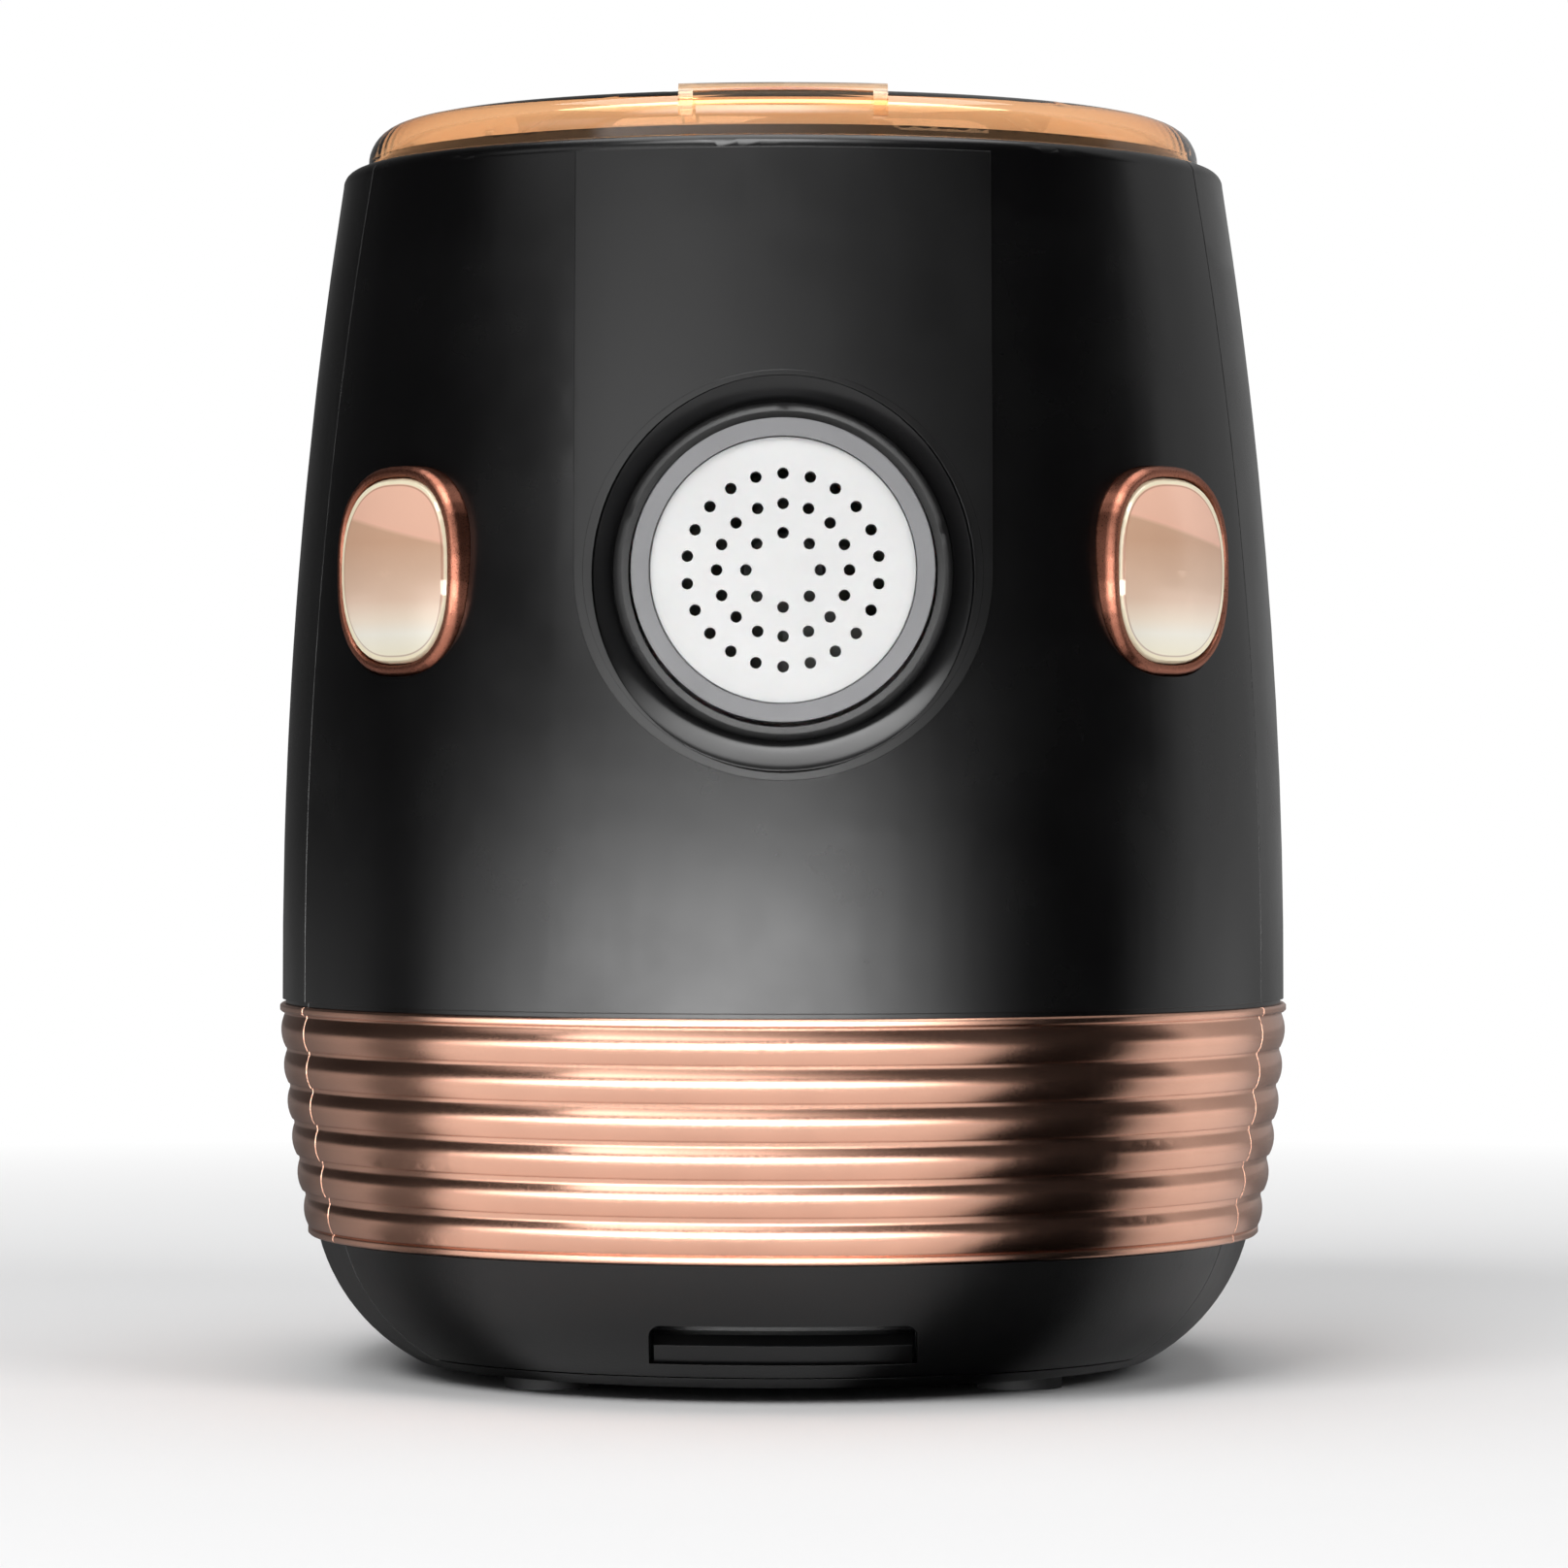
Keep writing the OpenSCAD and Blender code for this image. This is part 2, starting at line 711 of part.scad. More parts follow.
module base_plate() {
    color(housing_black)
    difference() {
        union() {
            oval_front() base_outline(sole_z, sole_top_z);
            oval_rest() base_outline(sole_z, sole_top_z);
            for (side = [-1, 1])
                translate([side * (tray_x + clear + 1.5) - 1.5, seam_y + 4, sole_z])
                    cube([3, tray_len - 20, sole_t + 4]);
        }
        for (spot = screw_spots)
            translate([spot[0], spot[1], 0]) {
                cylinder(r = screw_r + clear, h = far / 10);
                cylinder(r = screw_head_r + clear, h = sole_z + 1);
            }
        for (x = [-1, 1], y = [-1, 1])
            translate([x * foot_x, y * foot_y, 0]) cylinder(r = foot_r / 3, h = far / 10);
        for (i = [-3 : 3])
            translate([9 * i - 2, 30, 0]) cube([4, 30, far / 10]);
    }
}

module feet() {
    color(rubber_grey)
    for (x = [-1, 1], y = [-1, 1])
        translate([x * foot_x, y * foot_y, 0]) {
            cylinder(r = foot_r, h = sole_z);
            cylinder(r = foot_r / 3 - 0.05, h = sole_top_z);
        }
}

module base_screws() {
    color(steel)
    for (spot = screw_spots)
        translate([spot[0], spot[1], sole_z + 0.2]) difference() {
            union() {
                cylinder(r = screw_head_r, h = 0.8);
                cylinder(r = screw_r, h = 14);
            }
            translate([0, 0, -0.1]) cylinder(r = 1.2, h = 0.6, $fn = 6);
        }
}

module cord_gland() {
    color(rubber_grey)
    difference() {
        union() {
            bar([0, gland_z], gland_r, gland_pocket_y - 6, gland_pocket_y + 2.5);
            bar([0, gland_z], gland_r + 2, gland_pocket_y, gland_pocket_y + 2.5);
            bar([0, gland_z], gland_r + 2, gland_pocket_y - 4.5, gland_pocket_y - 2);
        }
        bar([0, gland_z], cord_r, gland_pocket_y - 8, gland_pocket_y + 6);
    }
}

module chassis_tray() {
    chassis_r = band_low_r - band_wall - clear - 0.1;
    color(inner_grey)
    difference() {
        union() {
            oval_front() translate([0, band_z]) square([chassis_r, chassis_t]);
            oval_rest() translate([0, band_z]) square([chassis_r, chassis_t]);
            for (spot = screw_spots)
                translate([spot[0], spot[1], sole_top_z])
                    cylinder(r = 5, h = band_z - sole_top_z + 1);
            for (x = board_x + [5, -5], y = board_y + [5, -5])
                translate([x, y, band_z + 1]) cylinder(r = 3, h = board_z - band_z - 1);
        }
        for (spot = screw_spots)
            translate([spot[0], spot[1], 0]) cylinder(r = screw_r + 0.05, h = band_z - 6);
        for (i = [0 : 5])
            translate([46 + 7 * i, -26, band_z - 1]) cube([3.5, 52, far / 10]);
    }
}

module bowl_section(grow, top_grow) {
    translate([0, nozzle_z]) {
        circle(r = bowl_r + grow);
        polygon([[-bowl_r - grow, 0], [bowl_r + grow, 0],
            [bowl_top_x + grow, bowl_axis_h + top_grow], [-bowl_top_x - grow, bowl_axis_h + top_grow]]);
    }
}

module mixing_bowl() {
    ear = 12;
    color(white_nylon)
    difference() {
        union() {
            along_y(bowl_front_y - bowl_wall, bowl_back_y) bowl_section(bowl_wall, 0);
            bar([0, nozzle_z], barrel_r + barrel_wall, nose_y, bowl_front_y);
            bar([0, nozzle_z], ring_bore_r - clear, nose_y, nose_y + nose_len);
            for (side = [-1, 1])
                at_button(side) translate([-ear / 2, -ear / 2, catch_z - catch_t - 18])
                    cube([ear, ear, 18]);
            difference() {
                union() {
                    oval_front() translate([0, flange_z]) square([flange_r, flange_t]);
                    oval_rest() translate([0, flange_z]) square([flange_r, flange_t]);
                }
                translate([-far / 2, deck_y - 0.4, 0]) cube([far, far, far]);
            }
        }
        along_y(bowl_front_y, bowl_rear_y) bowl_section(0, flange_t + 1);
        bar([0, nozzle_z], barrel_r, nose_y - 1, bowl_front_y + 1);
        bar([0, nozzle_z], shaft_r + clear, bowl_rear_y - 1, bowl_back_y + 1);
    }
}

module cover_catches() {
    color(steel)
    for (side = [-1, 1])
        at_button(side) translate([-5, -5, catch_z - catch_t]) cube([10, 10, catch_t]);
}

module shaft_seal() {
    color(rubber_grey) difference() {
        bar([0, nozzle_z], bearing_r, bowl_back_y, bowl_back_y + 4);
        bar([0, nozzle_z], shaft_r + run, bowl_back_y - 1, bowl_back_y + 5);
    }
}

module retaining_ring() {
    color(zinc) difference() {
        bar([0, nozzle_z], ring_r, -ring_front_y, ring_len - ring_front_y);
        bar([0, nozzle_z], ring_bore_r, ring_lip_t - ring_front_y, 0);
        bar([0, nozzle_z], ring_lip_r, -ring_front_y - 1, 0);
    }
}

module die_disc() {
    color(white_nylon) difference() {
        union() {
            bar([0, nozzle_z], die_flange_r, die_back_y - die_t, die_back_y);
            bar([0, nozzle_z], die_boss_r, die_back_y - die_t - die_boss_t, die_back_y - die_t + 1);
        }
        for (ring = [0 : len(hole_rings) - 1], i = [0 : hole_counts[ring] - 1]) {
            a = 90 + i * 360 / hole_counts[ring];
            bar([hole_rings[ring] * cos(a), nozzle_z + hole_rings[ring] * sin(a)], hole_r,
                die_back_y - die_t - die_boss_t - 1, die_back_y + 1);
        }
    }
}

module die_seal() {
    color(rubber_grey) difference() {
        bar([0, nozzle_z], die_flange_r, nose_y - 0.2 - seal_t, nose_y - 0.2);
        bar([0, nozzle_z], barrel_r + 0.5, nose_y - 1 - seal_t, nose_y + 1);
    }
}

module auger() {
    flight_r = barrel_r - 0.6;
    wedge = 360 * flight_t / flight_lead;
    slices = 16;
    color(white_nylon) difference() {
        union() {
            bar([0, nozzle_z], core_r, auger_tip_y, auger_end_y);
            bar([0, nozzle_z], core_r + 3, auger_end_y - socket_len - 4, auger_end_y);
            translate([0, auger_tip_y + flight_len, nozzle_z]) rotate([90, 0, 0])
                linear_extrude(flight_len, twist = -360 * flight_len / flight_lead,
                    slices = round(slices * flight_len / flight_lead))
                    polygon(concat([for (a = [0, 0.5, 1]) (core_r - 1) * [cos(a * wedge), sin(a * wedge)]],
                        [for (a = [1, 0.75, 0.5, 0.25, 0]) flight_r * [cos(a * wedge), sin(a * wedge)]]));
        }
        bar([0, nozzle_z], hex_r + clear, auger_end_y - socket_len, auger_end_y + 1, $fn = 6);
    }
}

module mixing_paddles() {
    hub_r = core_r + 3;
    color(white_nylon)
    difference() {
        union() {
            bar([0, nozzle_z], hub_r, paddle_y[0] - 5, paddle_y[2] + 5);
            for (i = [0 : paddle_count - 1])
                translate([0, paddle_y[i % 3], nozzle_z])
                    rotate([0, i * 360 / paddle_count, 0])
                        intersection() {
                            translate([-3, -5, 0]) cube([6, 10, paddle_reach]);
                            rotate([90, 0, 0]) cylinder(r = paddle_reach, h = 12, center = true);
                        }
        }
        bar([0, nozzle_z], core_r + 0.05, paddle_y[0] - 6, paddle_y[2] + 6);
    }
}

module output_shaft() {
    color(steel) {
        bar(output_axis, shaft_r, auger_end_y, gearbox_end_y);
        bar(output_axis, hex_r, auger_end_y - socket_len + 0.5, auger_end_y, $fn = 6);
    }
}

module output_gear() {
    color(zinc) difference() {
        wheel(output_axis, axis_b, coarse_module, output_teeth, gear_out_y, gear_out_y + output_gear_t);
        bar(output_axis, shaft_r + 0.02, gear_out_y - 1, rear_plate_y);
        for (i = [0 : 5])
            bar(output_axis + 22 * [cos(60 * i), sin(60 * i)], 6, gear_out_y - 1, rear_plate_y);
    }
}

module bearing(y0, y1) {
    difference() {
        bar(output_axis, bearing_r, y0, y1);
        bar(output_axis, shaft_r + run, y0 - 1, y1 + 1);
    }
}

module output_bearings() {
    color(steel) {
        bearing(motor_face_y - 2, motor_face_y + plate_t + 1);
        bearing(rear_plate_y - 1, gearbox_end_y);
    }
}

module gearbox_plate(y) {
    difference() {
        along_y(y, y + plate_t) {
            hull() for (x = [-post_x, post_x], z = [post_low_z, post_high_z])
                translate([x, z]) circle(r = post_r + 3, $fn = 32);
            translate([-30, chassis_top_z]) square([60, post_low_z - chassis_top_z]);
        }
        bar(output_axis, bearing_r + 0.02, y - 1, y + plate_t + 1);
        for (axis = [axis_a, axis_b]) bar(axis, axle_r + 0.02, y - 1, y + plate_t + 1);
        for (x = [-post_x, post_x], z = [post_low_z, post_high_z])
            bar([x, z], screw_r + 0.05, y - 1, y + plate_t + 1);
    }
}

module gearbox_front_plate() {
    color(zinc) difference() {
        gearbox_plate(motor_face_y);
        bar(motor_axis, motor_shaft_r + 3, motor_face_y - 1, motor_face_y + plate_t + 1);
    }
}

module gearbox_rear_plate() {
    color(zinc) gearbox_plate(rear_plate_y);
}

module gearbox_spacers() {
    color(steel)
    for (x = [-post_x, post_x], z = [post_low_z, post_high_z]) {
        bar([x, z], post_r, motor_face_y + plate_t, rear_plate_y);
        bar([x, z], screw_r, rear_plate_y, gearbox_end_y);
        bar([x, z], screw_head_r, gearbox_end_y, gearbox_end_y + 2);
        bar([x, z], screw_r, motor_face_y, motor_face_y + plate_t);
        bar([x, z], screw_head_r, motor_face_y - 2, motor_face_y);
    }
}

module idler_axles() {
    color(steel)
    for (axis = [axis_a, axis_b]) bar(axis, axle_r, motor_face_y, gearbox_end_y);
}

// A wheel and the smaller pinion behind it, in one piece on an axle
module compound_gear(at, from, to, m, teeth, wheel_y, next_m, next_t) {
    difference() {
        union() {
            wheel(at, from, m, teeth, wheel_y, wheel_y + gear_t);
            pinion(at, to, next_m, wheel_y + gear_t - 0.01, wheel_y + gear_t + next_t);
        }
        bar(at, axle_r + run, wheel_y - 1, wheel_y + far / 4);
    }
}

module idler_gear_a() {
    color(white_nylon)
        compound_gear(axis_a, motor_axis, axis_b, fine_module, wheel_a_teeth, gear_a_y,
            fine_module, gear_t + 1.8);
}

module idler_gear_b() {
    color(white_nylon)
        compound_gear(axis_b, axis_a, output_axis, fine_module, wheel_b_teeth, gear_b_y,
            coarse_module, output_gear_t + 1.8);
}

module drive_pinion() {
    color(steel) difference() {
        pinion(motor_axis, axis_a, fine_module, gear_a_y - 0.5, gear_a_y + gear_t + 0.5);
        bar(motor_axis, motor_shaft_r + 0.02, gear_a_y - 1, gear_a_y + gear_t + 1);
    }
}

module motor_shaft() {
    color(steel) bar(motor_axis, motor_shaft_r, fan_y - 2, gear_a_y + gear_t + 1);
}

module cooling_fan() {
    color(white_nylon) difference() {
        union() {
            bar(motor_axis, 2 * motor_shaft_r + 2, fan_y, fan_y + fan_t);
            bar(motor_axis, fan_r, fan_y + fan_t - 1.6, fan_y + fan_t);
            for (i = [0 : fan_blades - 1])
                translate([0, fan_y + fan_t / 2 - 0.5, motor_z]) rotate([0, i * 360 / fan_blades, 0])
                    translate([0, 0, motor_shaft_r + 2]) rotate([0, 0, fan_pitch])
                        translate([-0.8, 1 - fan_t / 2, 0])
                            cube([1.6, fan_t - 2, fan_r - motor_shaft_r - 2.5]);
        }
        bar(motor_axis, motor_shaft_r + 0.02, fan_y - 1, fan_y + fan_t + 1);
    }
}

module motor_can() {
    color(steel) difference() {
        bar(motor_axis, motor_r, motor_front_y, motor_face_y);
        bar(motor_axis, motor_shaft_r + run, motor_front_y - 1, motor_face_y + 1);
    }
}

module motor_end_bell() {
    color(inner_grey) difference() {
        union() {
            bar(motor_axis, motor_r - 4, motor_front_y - 7, motor_front_y);
            bar(motor_axis, motor_shaft_r + 5, motor_front_y - bell_len, motor_front_y - 6);
        }
        bar(motor_axis, motor_shaft_r + run, motor_front_y - far / 4, motor_front_y + 1);
        for (i = [0 : 5])
            bar(motor_axis + (motor_r - 12) * [cos(60 * i), sin(60 * i)], 4,
                motor_front_y - far / 4, motor_front_y - 2);
    }
}

module motor_cradle() {
    color(inner_grey) difference() {
        for (y = [motor_front_y + 8, motor_face_y - 20])
            translate([-motor_r + 5, y, chassis_top_z])
                cube([2 * motor_r - 10, 8, motor_z - chassis_top_z - motor_r / 3]);
        bar(motor_axis, motor_r + 0.1, motor_front_y, motor_face_y);
    }
}

module circuit_board() {
    color(board_green) translate([board_x[0], board_y[0], board_z])
        cube([board_x[1] - board_x[0], board_y[1] - board_y[0], board_t]);
    color(rubber_grey) {
        translate([board_x[0] + 6, board_y[0] + 10, board_z + board_t]) cube([20, 18, 16]);
        translate([board_x[0] + 34, board_y[0] + 12, board_z + board_t]) cylinder(r = 6, h = 20);
        translate([board_x[0] + 8, board_y[1] - 26, board_z + board_t]) cube([16, 12, 12]);
    }
    color(steel) for (i = [0 : 3])
        translate([board_x[0] + 31 + 3.5 * i, board_y[1] - 28, board_z + board_t]) cube([1.6, 20, 18]);
    color(steel)
        translate([board_x[0] + 31, board_y[1] - 28, board_z + board_t]) cube([12.1, 20, 2]);
}

module deck_slab(z0, z1, r) {
    difference() {
        union() {
            oval_front() translate([0, z0]) square([r, z1 - z0]);
            oval_rest() translate([0, z0]) square([r, z1 - z0]);
        }
        translate([-far / 2, deck_y - far, 0]) cube([far, far, far]);
    }
}

module key_spots() {
    for (i = [-1 : 1]) translate([i * key_pitch, key_y, 0]) children();
}

module top_deck() {
    color(housing_black) difference() {
        union() {
            deck_slab(flange_z, rim_z, flange_r);
            for (side = [-1, 1]) {
                x0 = side > 0 ? deck_knuckle[0] : -deck_knuckle[1];
                w = deck_knuckle[1] - deck_knuckle[0];
                translate([x0, hinge_y, hinge_z]) rotate([0, 90, 0]) cylinder(r = knuckle_r, h = w);
                translate([x0, hinge_y - knuckle_r, rim_z - 1])
                    cube([w, 2 * knuckle_r, hinge_z - rim_z + 1]);
            }
            for (x = [-1, 1], y = [-1, 1])
                translate([x * (key_pitch + 9), key_y + y * 8, flange_z - 6]) cylinder(r = 2.2, h = 6.5);
        }
        translate([-far / 2, hinge_y, hinge_z]) rotate([0, 90, 0]) cylinder(r = hinge_pin_r + 0.02, h = far);
        key_spots() translate([0, 0, flange_z - 1]) cylinder(r = key_r + clear, h = flange_t + 2);
    }
}

module hinge_pin() {
    color(steel) translate([-deck_knuckle[1] - 1, hinge_y, hinge_z]) rotate([0, 90, 0])
        cylinder(r = hinge_pin_r, h = 2 * deck_knuckle[1] + 2);
}

// Half profile of the lid's outside, or of its inside with a positive inset
module lid_outline(inset) {
    r = lid_r - inset;
    top = rim_z + lid_h - inset;
    low = rim_z + clear - (inset > 0 ? 1 : 0);
    bend = lid_round - inset * 0.8;
    translate([0, low]) square([r, top - bend - low]);
    translate([0, top - bend]) square([r - bend, bend]);
    intersection() {
        translate([r - bend, top - bend]) circle(r = bend, $fn = 64);
        translate([r - bend, top - bend]) square(bend);
    }
}

module lid_body(inset) {
    difference() {
        union() {
            oval_front() lid_outline(inset);
            oval_rest() lid_outline(inset);
        }
        translate([-far / 2, lid_rear_y - inset, 0]) cube([far, far, far]);
    }
}

module lid() {
    color(amber) difference() {
        lid_body(0);
        lid_body(lid_wall);
    }
}

module lid_seal() {
    color(rubber_grey) difference() {
        lid_ring(lid_wall + 0.05);
        lid_ring(lid_wall + 2.5);
    }
}

module lid_ring(inset) {
    difference() {
        union() {
            oval_front() translate([0, rim_z + clear]) square([lid_r - inset, 2]);
            oval_rest() translate([0, rim_z + clear]) square([lid_r - inset, 2]);
        }
        translate([-far / 2, lid_rear_y - inset, 0]) cube([far, far, far]);
    }
}

module lid_hinge_leaf() {
    color(housing_black) difference() {
        union() {
            translate([-lid_knuckle[1], lid_rear_y, rim_z + 1])
                cube([2 * lid_knuckle[1], 1.4, lid_h - lid_round]);
            for (side = [-1, 1]) {
                x0 = side > 0 ? lid_knuckle[0] : -lid_knuckle[1];
                w = lid_knuckle[1] - lid_knuckle[0];
                translate([x0, hinge_y, hinge_z]) rotate([0, 90, 0]) cylinder(r = knuckle_r, h = w);
                translate([x0, lid_rear_y, rim_z + 1]) cube([w, 3, lid_h - lid_round]);
            }
        }
        translate([-far / 2, hinge_y, hinge_z]) rotate([0, 90, 0]) cylinder(r = hinge_pin_r + run, h = far);
    }
}

// A bar across the top of the lid's front, with a strap down the shoulder at each end
module lid_grip() {
    strap_w = 3;
    rear_y = 10 - plan_stretch - lid_r;
    color(housing_black) intersection() {
        difference() {
            lid_body(-grip_t);
            lid_body(0);
        }
        union() {
            translate([-grip_w / 2, rear_y - far, rim_z + lid_h - 0.6]) cube([grip_w, far, far]);
            for (x = [-grip_w / 2, grip_w / 2 - strap_w])
                translate([x, rear_y - far, rim_z + 4]) cube([strap_w, far, far]);
        }
    }
}

module control_board() {
    top = flange_z - 6;
    color(board_green) translate([-key_pitch - 13, key_y - 12, top - board_t])
        cube([2 * key_pitch + 26, 24, board_t]);
    color(rubber_grey) key_spots()
        translate([-3, -3, top]) cube([6, 6, 6 - key_flange_t - clear - key_travel - 0.05]);
}

module control_key(i) {
    color(housing_black) translate([i * key_pitch, key_y, 0]) {
        translate([0, 0, flange_z - clear]) cylinder(r = key_r, h = flange_t + clear + key_rise);
        translate([0, 0, flange_z - clear - key_flange_t]) cylinder(r = key_r + 1, h = key_flange_t);
    }
}

module power_key() { control_key(-1); }
module program_key() { control_key(0); }
module start_key() { control_key(1); }

module lid_switch() {
    switch_x = lid_r - 32.3;
    color(rubber_grey) translate([switch_x, deck_y + 3, flange_z - 10]) cube([14, 7, 10]);
}

module drawer_front() {
    low = sole_top_z + clear;
    top = band_z - 0.4;
    color(housing_black) difference() {
        union() {
            front_half() base_wall(low, top);
            intersection() {
                front_half() base_outline(low, top);
                union() {
                    translate([-far / 2, tray_front_y - 2, 0]) cube([far, 2, far]);
                    difference() {
                        translate([-notch_w / 2 - 2, -far, 0])
                            cube([notch_w + 4, far, notch_z + notch_h + 2]);
                        oval_front() square([pocket_r - 2, far]);
                    }
                }
            }
        }
        difference() {
            along_y(-far / 2, seam_y) notch_outline();
            oval_front() square([pocket_r, far]);
        }
    }
}

module notch_outline() {
    corner = 2.5;
    hull() {
        translate([-notch_w / 2, notch_z]) square([notch_w, 1]);
        for (x = [-1, 1])
            translate([x * (notch_w / 2 - corner), notch_z + notch_h - corner]) circle(r = corner, $fn = 32);
    }
}

module drawer_tray() {
    low = sole_top_z + clear;
    color(inner_grey) difference() {
        translate([-tray_x, tray_front_y, low]) cube([2 * tray_x, tray_len, tray_top_z - low]);
        translate([-tray_x + tray_wall, tray_front_y + tray_wall, low + tray_wall])
            cube([2 * (tray_x - tray_wall), tray_len - 2 * tray_wall, far]);
    }
}

module drawer_pull() {
    tab_z = [notch_z + 0.1, notch_z + 4.1, notch_z + 6.3];
    color(housing_black) intersection() {
        oval_front() polygon([[pocket_r, tab_z[0]], [base_at(tab_z[0]) - 0.8, tab_z[0]],
            [base_at(tab_z[1]) - 1.2, tab_z[1]], [base_at(tab_z[2]) - 5, tab_z[2]], [pocket_r, tab_z[2]]]);
        translate([-notch_w / 2 + 1, -far, 0]) cube([notch_w - 2, far, far]);
    }
}

front_shell();
front_band();
left_button_bezel();
right_button_bezel();
left_release_button();
right_release_button();
left_button_spring();
right_button_spring();
rear_shell();
rear_band();
base_shell();
base_plate();
feet();
base_screws();
cord_gland();
chassis_tray();
mixing_bowl();
cover_catches();
shaft_seal();
retaining_ring();
die_disc();
die_seal();
auger();
mixing_paddles();
output_shaft();
output_gear();
output_bearings();
gearbox_front_plate();
gearbox_rear_plate();
gearbox_spacers();
idler_axles();
idler_gear_a();
idler_gear_b();
drive_pinion();
motor_shaft();
cooling_fan();
motor_can();
motor_end_bell();
motor_cradle();
circuit_board();
top_deck();
hinge_pin();
lid();
lid_seal();
lid_hinge_leaf();
lid_grip();
control_board();
power_key();
program_key();
start_key();
lid_switch();
drawer_front();
drawer_tray();
drawer_pull();
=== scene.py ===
"""Looks of the electric pasta maker: materials, trim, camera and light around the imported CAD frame.

Everything is in metres in the frame of the CAD model: +Z up, the front faces -Y, the floor is z = 0.
"""

import math

import bpy
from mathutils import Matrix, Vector


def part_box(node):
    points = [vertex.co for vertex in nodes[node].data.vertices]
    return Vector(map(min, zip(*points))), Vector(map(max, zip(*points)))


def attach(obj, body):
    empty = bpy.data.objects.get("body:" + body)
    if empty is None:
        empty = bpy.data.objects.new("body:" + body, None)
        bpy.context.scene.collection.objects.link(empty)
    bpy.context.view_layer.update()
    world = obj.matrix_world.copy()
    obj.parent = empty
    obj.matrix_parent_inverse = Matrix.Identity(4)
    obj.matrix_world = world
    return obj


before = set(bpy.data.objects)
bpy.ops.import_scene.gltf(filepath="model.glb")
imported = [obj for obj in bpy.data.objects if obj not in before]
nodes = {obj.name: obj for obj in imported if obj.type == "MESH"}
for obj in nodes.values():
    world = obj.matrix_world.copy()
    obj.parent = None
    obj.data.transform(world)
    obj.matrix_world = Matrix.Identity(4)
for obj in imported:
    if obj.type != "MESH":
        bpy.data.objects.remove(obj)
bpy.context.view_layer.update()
scene = bpy.context.scene

MM = 0.001  # metres in a millimetre


# ---------------------------------------------------------------- shader building

def set_stops(ramp, stops):
    """Gives a colour ramp node its stops, each a position and a colour."""
    steps = ramp.color_ramp.elements
    for index, (position, colour) in enumerate(stops):
        step = steps[index] if index < 2 else steps.new(1.0)    # a new ramp has two stops
        step.position = position
        step.color = (*colour, 1)


NOISE_LOW, NOISE_HIGH = 0.3, 0.7  # the range that holds nearly all values of a noise


